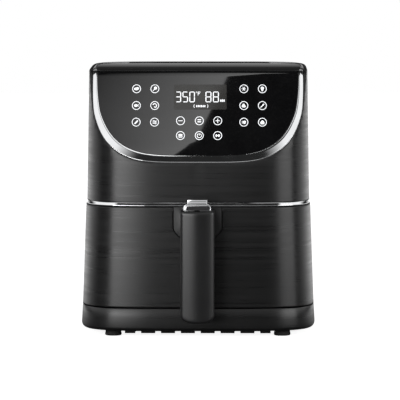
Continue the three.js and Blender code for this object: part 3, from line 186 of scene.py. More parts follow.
class GrainGroups:
    """The shader groups that every finish shares, each built once."""

    def __init__(self) -> None:
        """Builds all the groups."""
        self.grains = {
            Grain.STREAKS: self.build_stretched("horizontal_streaks", (24.0, 24.0, 1900.0), 3.0),
            Grain.BRUSHED: self.build_stretched("turned_brushing", (60.0, 60.0, 1900.0), 2.0),
            Grain.MOULDED: self.build_even("moulded_grain", 2600.0, 2.0),
            Grain.SPECKLED: self.build_speckled(),
            Grain.POLISHED: self.build_even("polish_waves", 55.0, 1.0),
            Grain.BOARD: self.build_board(),
        }
        self.dust = self.build_dust()

    def build_stretched(self, name: str, scale: Triple, detail: float) -> bpy.types.NodeTree:
        """Fine lines: noise whose coordinates are squeezed along one axis.

        Args:
            name: the group's name.
            scale: how often the noise repeats a metre along each axis.
            detail: octaves of the noise.

        Returns:
            A group that puts out Mask and Height.
        """
        group = MaskGroup(name)
        dense = group.add("ShaderNodeVectorMath", {0: group.place, "Scale": group.amount}, operation="SCALE")
        mapped = group.add("ShaderNodeMapping", {"Vector": dense.outputs[0], "Scale": scale})
        fine = group.noise(mapped.outputs[0], 1.0, detail, 0.6)
        broad = group.add("ShaderNodeMapping", {"Vector": group.place, "Scale": tuple(0.17 * s for s in scale)})
        both = group.math("ADD", fine, group.noise(broad.outputs[0], 1.0, 2.0))
        return group.closed(group.ranged(both, 0.0, 1.0, 0.72, 1.28), fine)

    def build_even(self, name: str, scale: float, detail: float) -> bpy.types.NodeTree:
        """An even grain: the same noise along all three axes, with slow clouds over it."""
        group = MaskGroup(name)
        fine = group.noise(group.place, group.math("MULTIPLY", group.amount, scale), detail)
        both = group.math("ADD", fine, group.noise(group.place, 14.0, 3.0))
        return group.closed(group.ranged(both, 0.0, 1.0, 0.75, 1.25), fine)

    def build_speckled(self) -> bpy.types.NodeTree:
        """Non-stick coating: pale flecks at the cells' middles over a faint orange-peel relief."""
        group = MaskGroup("coating_flecks")
        dense = group.math("MULTIPLY", group.amount, 420.0)
        cells = group.add("ShaderNodeTexVoronoi", {"Vector": group.place, "Scale": dense})
        flecks = group.ranged(cells.outputs["Distance"], 1.0, 0.0, 0.06, 0.2)
        return group.closed(flecks, group.noise(group.place, 900.0, 2.0))

    def build_board(self) -> bpy.types.NodeTree:
        """Circuit board: copper lines that show through the mask as a brick-like net."""
        group = MaskGroup("board_tracks")
        turned = group.add("ShaderNodeMapping", {"Vector": group.place, "Rotation": (0.0, 0.0, 0.785)})
        links = {
            "Vector": turned.outputs[0], "Scale": group.math("MULTIPLY", group.amount, 160.0), "Mortar Size": 0.05,
            "Color1": shade_of(0.0), "Color2": shade_of(0.15), "Mortar": shade_of(1.0),
        }
        net = group.add("ShaderNodeTexBrick", links)
        return group.closed(net.outputs["Color"], net.outputs["Fac"])

    def build_dust(self) -> bpy.types.NodeTree:
        """Dust: sparse noise, kept where the surface looks up."""
        group = MaskGroup("settled_dust", "Amount", ["Mask"])
        normal = group.add("ShaderNodeNewGeometry").outputs["Normal"]
        upward = group.ranged(group.split(normal)[2], 0.15, 1.0, 0.2, 1.0)
        sparse = group.ranged(group.noise(group.place, 380.0, 4.0), 0.0, 1.0, 0.5, 0.8)
        return group.closed(group.folded("MULTIPLY", sparse, upward, group.amount))


@dataclass(frozen=True)
class Finish:
    """One finish: its colours, gloss and grain, and the record's slot that it belongs to."""

    name: str
    slot: str
    low: Triple
    high: Triple
    rough: Pair
    grain: Grain
    metal: float = 0.0
    density: float = 1.0
    bump: float = 0.05
    bump_depth: float = 0.0001
    coat: float = 0.0
    coat_rough: float = 0.05
    dust: float = 0.0
    glow: float = 0.0
    specular: float = 0.5

    def build(self, groups: GrainGroups) -> bpy.types.Material:
        """Makes the material.

        Args:
            groups: the shared grain groups.

        Returns:
            The finished material.
        """
        material = bpy.data.materials.new(self.name)
        material.use_nodes = True
        tree = Tree(material.node_tree)
        shader = material.node_tree.nodes["Principled BSDF"]
        grain = tree.add("ShaderNodeGroup", node_tree=groups.grains[self.grain])
        grain.inputs[0].default_value = self.density
        mask, height = grain.outputs
        colour = tree.mix(mask, (*self.low, 1.0), (*self.high, 1.0))
        roughness = tree.ranged(mask, *self.rough)
        if self.dust > 0:
            dust = tree.add("ShaderNodeGroup", node_tree=groups.dust)
            dust.inputs[0].default_value = self.dust
            colour = tree.mix(dust.outputs[0], colour, DUST)
        bump = tree.add("ShaderNodeBump", {"Strength": self.bump, "Distance": self.bump_depth, "Height": height})
        settings = {
            "Base Color": colour, "Roughness": roughness, "Normal": bump.outputs[0], "Metallic": self.metal,
            "Specular IOR Level": self.specular, "Coat Weight": self.coat, "Coat Roughness": self.coat_rough,
        }
        if self.glow > 0:
            settings |= {"Emission Color": colour, "Emission Strength": self.glow}
        for name, value in settings.items():
            tree.put(value, shader.inputs[name])
        return material


def grey(low: float, high: float, blue: Pair = (0.0, 0.0)) -> tuple[Triple, Triple]:
    """The low and high colour of a neutral finish, each with so much more blue."""
    return (low, low, low + blue[0]), (high, high, high + blue[1])


class Palette:
    """Every finish of the air fryer, built when it is first asked for."""

    SATIN = Finish(
        "satin_black_streaked", "satin_black", *grey(0.004, 0.009, (0.0002, 0.0003)), (0.26, 0.36), Grain.STREAKS,
        bump=0.07, bump_depth=0.00005, specular=0.55,
    )
    MOULDED = Finish(
        "satin_black_moulded", "satin_black", *grey(0.009, 0.016, (0.0005, 0.0005)), (0.36, 0.46), Grain.MOULDED,
        bump=0.10,
    )
    GLOSS = Finish(
        "gloss_black_panel", "gloss_black", *grey(0.004, 0.006, (0.0005, 0.0005)), (0.02, 0.035), Grain.POLISHED,
        bump=0.002, bump_depth=0.0004, coat=0.6, coat_rough=0.012, dust=0.04,
    )
    WINDOW = Finish(
        "display_window_tint", "gloss_black", (0.016, 0.015, 0.012), (0.020, 0.018, 0.015), (0.10, 0.16),
        Grain.POLISHED, bump=0.0, coat=0.3,
    )
    SATIN_GRIP = Finish(
        "satin_black_grip", "satin_black", *grey(0.008, 0.014, (0.0005, 0.0005)), (0.28, 0.36), Grain.MOULDED,
        bump=0.06, specular=0.6,
    )
    MATT = Finish(
        "matt_black_grained", "matt_black", *grey(0.014, 0.022, (0.001, 0.001)), (0.60, 0.75), Grain.MOULDED,
        bump=0.25,
    )
    CHROME = Finish(
        "bright_chrome", "chrome", (0.84, 0.85, 0.86), (0.90, 0.91, 0.92), (0.04, 0.09), Grain.POLISHED,
        metal=1.0, bump=0.006, bump_depth=0.0003,
    )
    SILVER = Finish(
        "silver_plated", "silver", (0.70, 0.71, 0.72), (0.80, 0.81, 0.82), (0.10, 0.16), Grain.POLISHED,
        metal=1.0, bump=0.004, bump_depth=0.0003,
    )
    COATED = Finish(
        "non_stick_coating", "coated_steel", *grey(0.020, 0.075, (0.001, 0.002)), (0.38, 0.52), Grain.SPECKLED,
        metal=0.35, bump=0.08,
    )
    STEEL = Finish(
        "bright_pressed_steel", "bright_steel", (0.50, 0.51, 0.52), (0.62, 0.63, 0.64), (0.24, 0.36),
        Grain.BRUSHED, metal=1.0, bump=0.08,
    )
    HEATED = Finish(
        "heat_darkened_metal", "dark_metal", (0.085, 0.080, 0.078), (0.16, 0.15, 0.14), (0.38, 0.52),
        Grain.MOULDED, metal=0.8, density=0.5, bump=0.08,
    )
    RUBBER = Finish("soft_black_rubber", "rubber", *grey(0.012, 0.022), (0.78, 0.92), Grain.MOULDED, bump=0.3)
    BOARD = Finish(
        "green_circuit_board", "circuit_board", (0.010, 0.085, 0.032), (0.03, 0.19, 0.07), (0.28, 0.42),
        Grain.BOARD, bump=0.2,
    )
    GLOW = Finish(
        "lit_white_marks", "gloss_black", (0.78, 0.80, 0.82), (0.86, 0.88, 0.90), (0.35, 0.45), Grain.MOULDED,
        bump=0.0, glow=0.9,
    )
    FLOOR = Finish("pale_floor", "", *grey(0.86, 0.90), (0.55, 0.65), Grain.MOULDED, density=0.02, bump=0.0)

    def __init__(self) -> None:
        """Builds the shared groups and starts with no material made."""
        self.groups = GrainGroups()
        self.made: dict[str, bpy.types.Material] = {}

    def get(self, finish: Finish) -> bpy.types.Material:
        """Returns the finish's material, made once."""
        if finish.name not in self.made:
            self.made[finish.name] = finish.build(self.groups)
        return self.made[finish.name]


# ---------------------------------------------------------------- mesh tools


@dataclass(frozen=True)
class MeshParts:
    """Points in millimetres and faces as lists of point numbers."""

    points: Array
    faces: list[list[int]]

    def joined(self, *others: "MeshParts") -> "MeshParts":
        """Returns this mesh and the others as one."""
        points, faces, start = [self.points], list(self.faces), len(self.points)
        for other in others:
            points.append(other.points)
            faces += [[i + start for i in face] for face in other.faces]
            start += len(other.points)
        return MeshParts(np.vstack(points), faces)


def node_box(name: str) -> tuple[Array, Array]:
    """The two corners of a CAD node's box, in millimetres."""
    low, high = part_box(name)
    return np.array(low) / MM, np.array(high) / MM


def linked(name: str, data: bpy.types.ID) -> bpy.types.Object:
    """Makes an object in the scene."""
    obj = bpy.data.objects.new(name, data)
    bpy.context.scene.collection.objects.link(obj)
    return obj


class Workshop:
    """Makes the Blender objects: puts meshes in, gives them a finish and ties them to the frame."""

    def __init__(self, palette: Palette) -> None:
        """Keeps the palette and counts the pieces."""
        self.palette = palette
        self.count = 0
        self.smoother = self.build_smoother()

    def build_smoother(self) -> bpy.types.NodeTree:
        """A geometry group that shades faces smooth and keeps the edges above an angle sharp."""
        group = bpy.data.node_groups.new("smooth_below_angle", "GeometryNodeTree")
        for side in ("INPUT", "OUTPUT"):
            group.interface.new_socket(name="Geometry", in_out=side, socket_type="NodeSocketGeometry")
        tree = Tree(group)
        given, out = tree.add("NodeGroupInput"), tree.add("NodeGroupOutput")
        smooth = tree.add("GeometryNodeSetShadeSmooth", {"Geometry": given.outputs[0], "Shade Smooth": True})
        angle = tree.add("GeometryNodeInputMeshEdgeAngle")
        steep = tree.add("FunctionNodeCompare", {0: angle.outputs[0], 1: np.radians(SHARP)}, operation="GREATER_THAN")
        links = {"Geometry": smooth.outputs[0], "Selection": steep.outputs[0], "Shade Smooth": False}
        sharp = tree.add("GeometryNodeSetShadeSmooth", links, domain="EDGE")
        tree.put(sharp.outputs[0], out.inputs[0])
        return group

    def piece(
        self, name: str, parts: MeshParts, finish: Finish, body: str, nodes: Sequence[str] = (), sharp: float = SHARP
    ) -> bpy.types.Object:
        """Makes one finished piece.

        Args:
            name: the piece's name.
            parts: its mesh in millimetres.
            finish: its finish.
            body: the body of the frame that it rides on.
            nodes: the CAD nodes that it stands for.
            sharp: edges above this many degrees stay crisp.

        Returns:
            The new object.
        """
        mesh = bpy.data.meshes.new(name)
        mesh.from_pydata((parts.points * MM).tolist(), [], parts.faces)
        shape = bmesh.new()
        shape.from_mesh(mesh)
        bmesh.ops.remove_doubles(shape, verts=shape.verts, dist=SAME_POINT)
        bmesh.ops.dissolve_degenerate(shape, edges=shape.edges, dist=NO_LENGTH)
        bmesh.ops.recalc_face_normals(shape, faces=shape.faces)
        shape.to_mesh(mesh)
        shape.free()
        mesh.shade_smooth()
        mesh.set_sharp_from_angle(angle=np.radians(sharp))
        mesh.materials.append(self.palette.get(finish))
        obj = linked(name, mesh)
        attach(obj, body)
        if nodes:
            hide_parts(*nodes)
        self.count += 1
        LOG.info("%s: %d faces, %s", name, len(mesh.polygons), finish.name)
        return obj

    def slotted(self, obj: bpy.types.Object, low: Sequence[float], high: Sequence[float]) -> None:
        """Cuts a straight-sided slot through a finished piece.

        The cutter is a closed block between two corners, taken away again after the cut.

        Args:
            obj: the piece.
            low: the block's lower corner in millimetres.
            high: its upper corner.
        """
        corners = np.stack(np.meshgrid(*zip(low, high), indexing="ij"), axis=-1).reshape(-1, 3) * MM
        mesh = bpy.data.meshes.new("slot cutter")
        sides = [(0, 1, 3, 2), (4, 6, 7, 5), (0, 4, 5, 1), (2, 3, 7, 6), (0, 2, 6, 4), (1, 5, 7, 3)]
        mesh.from_pydata(corners.tolist(), [], sides)
        cutter = linked("slot cutter", mesh)
        cut = obj.modifiers.new("slot", "BOOLEAN")
        cut.operation, cut.solver, cut.object = "DIFFERENCE", "EXACT", cutter
        finished = bpy.data.meshes.new_from_object(obj.evaluated_get(bpy.context.evaluated_depsgraph_get()))
        obj.modifiers.remove(cut)
        bpy.data.objects.remove(cutter)
        before, obj.data = obj.data, finished
        for spent in (mesh, before):
            bpy.data.meshes.remove(spent)
        finished.name = obj.name
        finished.set_sharp_from_angle(angle=np.radians(SHARP))
        LOG.info("%s: slot cut, %d faces", obj.name, len(finished.polygons))

    def carried(self, finish: Finish, edge: float, *nodes: str, steps: int = 2) -> None:
        """Dresses CAD nodes: their loose corners are joined, their edges softened and their finish given.

        Args:
            finish: their finish.
            edge: width of the softened edge.
            *nodes: the nodes' names.
            steps: faces across that edge.
        """
        for node in nodes:
            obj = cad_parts[node]
            joined = obj.modifiers.new("joined corners", "WELD")
            joined.merge_threshold = SAME_POINT
            if edge > 0:
                soft = obj.modifiers.new("soft edges", "BEVEL")
                soft.width, soft.segments = edge * MM, steps
                soft.limit_method, soft.angle_limit = "ANGLE", np.radians(SHARP)
                soft.use_clamp_overlap = True
            obj.modifiers.new("shading", "NODES").node_group = self.smoother
            obj.data.materials.clear()
            obj.data.materials.append(self.palette.get(finish))
            LOG.info("%s: carried over, %s", node, finish.name)


def edge_steps(radius: float, steps: int = 3, flat: float = 1.9) -> list[Pair]:
    """The rounding of an edge as pairs of distance from the edge and depth below the surface.

    A quarter circle: distance r(1 - cos t), depth r(1 - sin t), t from 0 to a right angle.

    Args:
        radius: radius of the rounding.
        steps: faces across it.
        flat: where one more flat step ends, in radii.

    Returns:
        The pairs, from the edge inwards, with the flat step after them.
    """
    turns = np.linspace(0.0, np.pi / 2, steps + 1)
    pairs = [(radius * (1 - np.cos(t)), radius * (1 - np.sin(t))) for t in turns]
    return pairs + [(radius * flat, 0.0)]


def inside(points: Array, loop: Array) -> Array:
    """Which points lie inside a loop, by counting the loop's edges to the right of each point."""
    x, y = points[:, :1], points[:, 1:]
    a, b = loop, np.roll(loop, -1, axis=0)
    crosses = (a[:, 1] > y) != (b[:, 1] > y)
    rise = np.where(np.abs(b[:, 1] - a[:, 1]) < 1e-12, 1e-12, b[:, 1] - a[:, 1])
    where = a[:, 0] + (y - a[:, 1]) * (b[:, 0] - a[:, 0]) / rise
    return (crosses & (x < where)).sum(axis=1) % 2 == 1


def offset_loop(loop: Array, distance: float, plain: Array, straight: float = 0.04) -> Array:
    """A loop moved to its left by a distance: each corner goes to where its two moved edges meet.

    Args:
        loop: the corners, with the material on the left.
        distance: how far to move.
        plain: True for each edge (from a corner to the next) that doesn't move.
        straight: a corner that turns by less counts as none, and moves by its edges' mean.

    Returns:
        The moved corners.
    """
    along = np.roll(loop, -1, axis=0) - loop
    along /= np.linalg.norm(along, axis=1, keepdims=True) + 1e-12
    left = np.column_stack([-along[:, 1], along[:, 0]])
    moves = np.where(plain, 0.0, distance)
    before_left, before_move = np.roll(left, 1, axis=0), np.roll(moves, 1)
    turn = before_left[:, 0] * left[:, 1] - before_left[:, 1] * left[:, 0]
    near = np.abs(turn) < straight
    safe = np.where(near, 1.0, turn)
    dx = (before_move * left[:, 1] - moves * before_left[:, 1]) / safe
    dy = (before_left[:, 0] * moves - left[:, 0] * before_move) / safe
    mean = 0.5 * (before_left * before_move[:, None] + left * moves[:, None])
    return loop + np.where(near[:, None], mean, np.column_stack([dx, dy]))


def even_steps(points: Array, step: float) -> Array:
    """A closed loop with its long edges cut into equal stretches no longer than the step."""
    following = np.roll(points, -1, axis=0)
    counts = np.maximum(1, np.ceil(np.linalg.norm(following - points, axis=1) / step - 1e-9)).astype(int)
    stretches = zip(points, following, counts)
    return np.vstack([a + (b - a) * np.linspace(0, 1, n, endpoint=False)[:, None] for a, b, n in stretches])


def levelled(points: Array, level: float) -> Array:
    """Points with one more coordinate, the same for all."""
    return np.column_stack([points, np.full(len(points), level)])


def bowed(start: Array, corner: Array, end: Array, count: int, weight: float = 1.0) -> Array:
    """A curve drawn towards a corner: (1 - s)^2 start + 2 w s (1 - s) corner + s^2 end."""
    s = np.linspace(0, 1, count)[:, None]
    return (1 - s) ** 2 * start + 2 * weight * s * (1 - s) * corner + s**2 * end


def oval(x: float, y: float, wide: float, tall: float, turn: Array | int) -> Array:
    """Points of an ellipse about x, y: at the given turns, or at so many even ones."""
    if isinstance(turn, int):
        turn = np.linspace(0, 2 * np.pi, turn, endpoint=False)
    return np.column_stack([x + wide * np.cos(turn), y + tall * np.sin(turn)])


@dataclass
class Sheet:
    """A wall cut to an outline: a surface of two parameters, trimmed, given its thickness and soft edges.

    The outline and holes are loops in the two parameters, in millimetres along the surface. A lattice of
    points fills them, joined by a constrained triangulation, and the surface function carries every
    point to its place at its depth. Edges at `seams` stay square, and a rim at plus or minus `wrap`
    isn't closed, because the sheet meets itself there.
    """

    CLEAR = 0.3  # share of the lattice's step that stays free beside the loops
    LOOP_STEP = 3.0  # between the loop points that this is measured from
    MERGED = 1e-5  # distance below which the triangulation takes two points for one
    NO_AREA = 1e-7  # twice the area of a triangle that is left out
    AT_WRAP = 1e-3  # how near to the wrap a point counts as on it

    surface: Surface
    outline: Array
    wall: float
    edge: float = 0.8
    holes: Sequence[Array] = ()
    lattice: Pair = (8.0, 8.0)
    lines: Sequence[Array] = ()
    seams: Callable[[Array], Array] | None = None
    hole_edge: float | None = None
    steps: int = 3
    wrap: float | None = None

    def build(self, back: bool = True, back_only: bool = False) -> MeshParts:
        """Works the sheet out.

        Args:
            back: False leaves the inner face out.
            back_only: True keeps nothing but the inner face.

        Returns:
            The mesh: outer face, inner face and the rim between them.
        """
        points, depths, edges, loops = [], [], [], []

        def laid(row: Array, depth: float, closed: bool) -> None:
            start, count = sum(len(p) for p in points), len(row)
            edges.extend((start + i, start + (i + 1) % count) for i in range(count if closed else count - 1))
            points.append(row)
            depths.append(np.full(count, depth))

        for number, loop in enumerate([self.outline, *self.holes]):
            area = 0.5 * np.sum(loop[:, 0] * np.roll(loop[:, 1], -1) - np.roll(loop[:, 0], -1) * loop[:, 1])
            if (area > 0) != (number == 0):
                loop = loop[::-1]
            middle = 0.5 * (loop + np.roll(loop, -1, axis=0))
            plain = self.seams(middle) if self.seams and number == 0 else np.zeros(len(loop), bool)
            radius = self.edge if number == 0 or self.hole_edge is None else self.hole_edge
            for distance, depth in edge_steps(radius, self.steps) if radius > 0 else [(0.0, 0.0)]:
                moved = offset_loop(loop, distance, plain)
                laid(moved, depth, closed=True)
            loops.append((moved, number == 0))
        for line in self.lines:
            laid(line, 0.0, closed=False)
        low, high = self.outline.min(axis=0), self.outline.max(axis=0)
        counts = np.maximum(2, np.ceil((high - low) / np.array(self.lattice)).astype(int))
        sides = [np.linspace(low[k], high[k], counts[k] + 1)[1:-1] for k in (0, 1)]
        grid = np.stack(np.meshgrid(*sides, indexing="ij"), -1).reshape(-1, 2)
        for loop, outer in loops:
            gap = np.linalg.norm(grid[:, None] - even_steps(loop, self.LOOP_STEP)[None], axis=2).min(axis=1)
            grid = grid[(gap > self.CLEAR * min(self.lattice)) & (inside(grid, loop) == outer)]
        points.append(grid)
        depths.append(np.zeros(len(grid)))
        flat, depth = np.vstack(points), np.concatenate(depths)
        out = delaunay_2d_cdt([Vector(p) for p in flat.tolist()], edges, [], 0, self.MERGED)
        spots = np.array([v[:] for v in out[0]])
        new_depth = np.array([depth[list(source)].min() if source else 0.0 for source in out[3]])
        faces = np.array(out[2])
        centres = spots[faces].mean(axis=1)
        a, b, c = spots[faces[:, 0]], spots[faces[:, 1]], spots[faces[:, 2]]
        size = (b[:, 0] - a[:, 0]) * (c[:, 1] - a[:, 1]) - (b[:, 1] - a[:, 1]) * (c[:, 0] - a[:, 0])
        keep = inside(centres, self.outline) & (np.abs(size) > self.NO_AREA)
        for hole in self.holes:
            keep &= ~inside(centres, hole)
        faces, size = faces[keep], size[keep]
        faces[size < 0] = faces[size < 0][:, ::-1]
        used, index = np.unique(faces, return_inverse=True)
        faces = index.reshape(faces.shape)
        spots, new_depth = spots[used], new_depth[used]
        outer = self.surface(spots, new_depth)
        inner = self.surface(spots, np.full(len(spots), self.wall))
        count = len(spots)
        directed = np.vstack([faces[:, [0, 1]], faces[:, [1, 2]], faces[:, [2, 0]]])
        rim = directed[~np.isin(directed @ [count, 1], directed @ [1, count])]
        if self.wrap is not None:
            rim = rim[~np.all(np.abs(np.abs(spots[rim][:, :, 0]) - self.wrap) < self.AT_WRAP, axis=1)]
        rim_faces = np.column_stack([rim[:, 1], rim[:, 0], rim[:, 0] + count, rim[:, 1] + count])
        inner_faces = (faces[:, ::-1] + count).tolist() if back else []
        all_faces = inner_faces if back_only else faces.tolist() + inner_faces + rim_faces.tolist()
        return MeshParts(np.vstack([outer, inner]), all_faces)


def swept(rings: Array, closed: bool = True) -> MeshParts:
    """A solid whose closed profile is carried along a path.

    Args:
        rings: points as path step, profile corner, coordinate.
        closed: True where the path ends where it starts; otherwise both ends are capped.

    Returns:
        The mesh.
    """
    steps, corners, _ = rings.shape
    number = np.arange(steps * corners).reshape(steps, corners)
    here = number if closed else number[:-1]
    ahead = np.roll(number, -1, axis=0) if closed else number[1:]
    faces = np.stack([here, np.roll(here, -1, axis=1), np.roll(ahead, -1, axis=1), ahead], axis=-1)
    faces = faces.reshape(-1, 4).tolist()
    if not closed:
        faces += [number[0][::-1].tolist(), number[-1].tolist()]
    return MeshParts(rings.reshape(-1, 3), faces)


def revolved(profile: Sequence[Pair], x: float, y: float, sides: int = 48) -> MeshParts:
    """A round solid: profile pairs of radius and height turned about an upright line at x, y."""
    turns = np.linspace(0, 2 * np.pi, sides, endpoint=False)[:, None]
    radius, height = np.array(profile).T
    return swept(np.stack([x + radius * np.cos(turns), y + radius * np.sin(turns), height + 0 * turns], axis=-1))


def rounded_corners(corners: Sequence[Triple], steps: int = 4) -> Array:
    """A closed outline with its corners rounded.

    Each corner is x, y and a radius, and is replaced by a quadratic curve between the points where a
    circle of that radius would touch its two edges.

    Args:
        corners: the corners in order.
        steps: stretches in each rounding.

    Returns:
        The outline's points.
    """
    given = np.array(corners, float)
    out = []
    for k, (x, y, radius) in enumerate(given):
        here = np.array([x, y])
        before, after = given[k - 1][:2] - here, given[(k + 1) % len(given)][:2] - here
        back, ahead = before / np.linalg.norm(before), after / np.linalg.norm(after)
        half = 0.5 * np.arccos(np.clip(back @ ahead, -1, 1))
        reach = min(radius / np.tan(half), 0.49 * np.linalg.norm(before), 0.49 * np.linalg.norm(after))
        curve = bowed(here + back * reach, here, here + ahead * reach, steps + 1, np.sin(half))
        out.append(curve / bowed(1, 1, 1, steps + 1, np.sin(half)))
    return np.vstack(out)


def rounded_box(x0: float, x1: float, y0: float, y1: float, first: float, last: float | None = None) -> Array:
    """A box's outline with one radius at its first two corners (y0) and another at its last two."""
    last = first if last is None else last
    return rounded_corners([(x0, y0, first), (x1, y0, first), (x1, y1, last), (x0, y1, last)])


# ---------------------------------------------------------------- the housing's form


@dataclass(frozen=True)
class BodyForm:
    """The housing's outer form: a rounded rectangle in plan whose walls draw in with height."""

    width: float = 285.0
    depth: float = 308.0
    height: float = 320.0
    centre_y: float = 25.0
    power: float = 5.0
    heights: tuple[float, ...] = (11.7, 34.6, 156.4, 162.2, 320.0)
    insets: tuple[float, ...] = (0.0, 1.3, 5.6, 6.8, 9.3)

    def halves(self, z: Value) -> tuple[Array, Array]:
        """Half the width and half the depth at a height."""
        inset = np.interp(z, self.heights, self.insets)
        return self.width / 2 - inset, self.depth / 2 - inset

    def plan(
        self, angle: Array, z: Array, in_x: Value = 0.0, in_y: Value = 0.0, power: float | None = None
    ) -> Array:
        """Plan points of a superellipse: r = (|cos/a|^p + |sin/b|^p)^(-1/p) at each angle.

        Args:
            angle: plan angle, 0 at +X and a right angle at the rear.
            z: heights.
            in_x: how far the sides are drawn in.
            in_y: how far the front and rear are drawn in.
            power: the superellipse's power, or None for the body's own.

        Returns:
            The x and y coordinates on the last axis.
        """
        p = self.power if power is None else power
        a, b = self.halves(z)
        c, s = np.cos(angle), np.sin(angle)
        r = (np.abs(c / (a - in_x)) ** p + np.abs(s / (b - in_y)) ** p) ** (-1 / p)
        return np.stack(np.broadcast_arrays(r * c, self.centre_y + r * s), axis=-1)

    def angle_at_y(self, y: Value, z: Value, side: float) -> Array:
        """The plan angle at which the wall on one side (+1 or -1) passes y at a height."""
        a, b = self.halves(z)
        rise = np.asarray(y) - self.centre_y
        x = side * a * (1 - np.abs(rise / b) ** self.power) ** (1 / self.power)
        return np.arctan2(rise, x)

    def angle_at_x(self, x: Value, z: Value, end: float) -> Array:
        """The plan angle at which the front (-1) or rear (+1) wall passes x at a height."""
        a, b = self.halves(z)
        y = end * b * (1 - np.abs(np.asarray(x) / a) ** self.power) ** (1 / self.power)
        return np.arctan2(y, x)


class Girth:
    """The distance round the wall, as a parameter: millimetres from the middle of the front or the rear."""

    STEPS = 4000  # stretches in the table

    def __init__(self, form: BodyForm, z: float, middle: float) -> None:
        """Tabulates the distance round the plan at a height.

        Args:
            form: the body's form.
            z: the height at which the distance is true.
            middle: the plan angle at which the parameter is zero.
        """
        self.form = form
        self.middle = middle
        self.angles = middle + np.linspace(-np.pi, np.pi, self.STEPS + 1)
        spots = form.plan(self.angles, z)
        steps = np.linalg.norm(np.diff(spots, axis=0), axis=1)
        table = np.concatenate([[0], np.cumsum(steps)])
        self.table = table - table[self.STEPS // 2]

    @property
    def half(self) -> float:
        """Half the girth."""
        return float(self.table[-1])

    def angle(self, distance: Array) -> Array:
        """The plan angle at a distance."""
        return np.interp(distance, self.table, self.angles)

    def distance(self, angle: Array) -> Array:
        """The distance of a plan angle, turned into this parameter's own range first."""
        turned = self.middle + (np.asarray(angle) - self.middle + np.pi) % (2 * np.pi) - np.pi
        return np.interp(turned, self.angles, self.table)

    def at_y(self, points: Array, side: float) -> Array:
        """Points in y and z on one side's wall (+1 or -1), as distance round it and height."""
        return np.column_stack([self.distance(self.form.angle_at_y(points[:, 0], points[:, 1], side)), points[:, 1]])

    def at_x(self, points: Array, end: float) -> Array:
        """Points in x and z on the front (-1) or rear (+1) wall, as distance round it and height."""
        return np.column_stack([self.distance(self.form.angle_at_x(points[:, 0], points[:, 1], end)), points[:, 1]])

    def wall(self, spots: Array, depth: Array) -> Array:
        """The wall as a surface: distance round it and height, sunk by a depth."""
        z = spots[:, 1]
        plan = self.form.plan(self.angle(spots[:, 0]), z, depth, depth)
        return np.column_stack([plan, z])


class Skin:
    """The flat top and the sloped front, as a profile seen from the side.

    The front leans by TILT and ends in a slope of FOOT_SLOPE, carried on by TAIL below the foot. SOFT is how
    far the bend between top and front reaches to either side.
    """

    TILT = np.radians(31.0)
    FOOT_SLOPE = 0.42
    SOFT = 5.0
    TAIL = 60.0

    def __init__(
        self, form: BodyForm, panel_height: float = 107.5, setback: float = 63.0, fillet: float = 20.0
    ) -> None:
        """Works out the profile as a run of points from the rear to below the panel's foot.

        Args:
            form: the body's form.
            panel_height: height of the sloped panel.
            setback: how far its top lies behind its foot.
            fillet: height of the curve at its foot.
        """
        foot_z = form.height - panel_height
        self.foot_y = float(form.centre_y - form.halves(foot_z)[1])
        self.top_y = self.foot_y + setback
        slope = np.tan(self.TILT)
        fillet_in = setback - (panel_height - fillet) * slope
        rise = (slope * fillet - fillet_in) / (slope - self.FOOT_SLOPE)
        start = np.array([self.foot_y + fillet_in, foot_z + fillet])
        corner = np.array([self.foot_y + rise * self.FOOT_SLOPE, foot_z + rise])
        foot = np.array([self.foot_y, foot_z])
        curve = bowed(start, corner, foot, 24)
        top = np.array([self.top_y, form.height])
        down = (start - top) / np.linalg.norm(start - top)
        bend = bowed(top + [self.SOFT, 0.0], top, top + down * self.SOFT, 24)
        tail = foot + (foot - corner) / np.linalg.norm(foot - corner) * self.TAIL
        self.profile = np.vstack([[[form.depth, form.height]], bend, curve, [tail]])
        self.lengths = np.concatenate([[0], np.cumsum(np.linalg.norm(np.diff(self.profile, axis=0), axis=1))])
        self.sink = (1 - np.sin(self.TILT)) / np.cos(self.TILT)

    def height_at(self, y: Array, drop: Value = 0.0) -> Array:
        """The skin's height at y, sunk by a drop: the profile moves by (drop x sink, -drop)."""
        order = np.argsort(self.profile[:, 0])
        return np.interp(y - np.asarray(drop) * self.sink, self.profile[order, 0], self.profile[order, 1]) - drop

    def along(self, y: Array) -> Array:
        """The distance down the profile at y."""
        return np.interp(-y, -self.profile[:, 0], self.lengths)

    def place(self, spots: Array, depth: Array) -> Array:
        """The skin as a surface: x and distance down the profile, sunk by a depth."""
        y, z = (np.interp(spots[:, 1], self.lengths, part) for part in self.profile.T)
        return np.column_stack([spots[:, 0], y + depth * self.sink, z - depth])


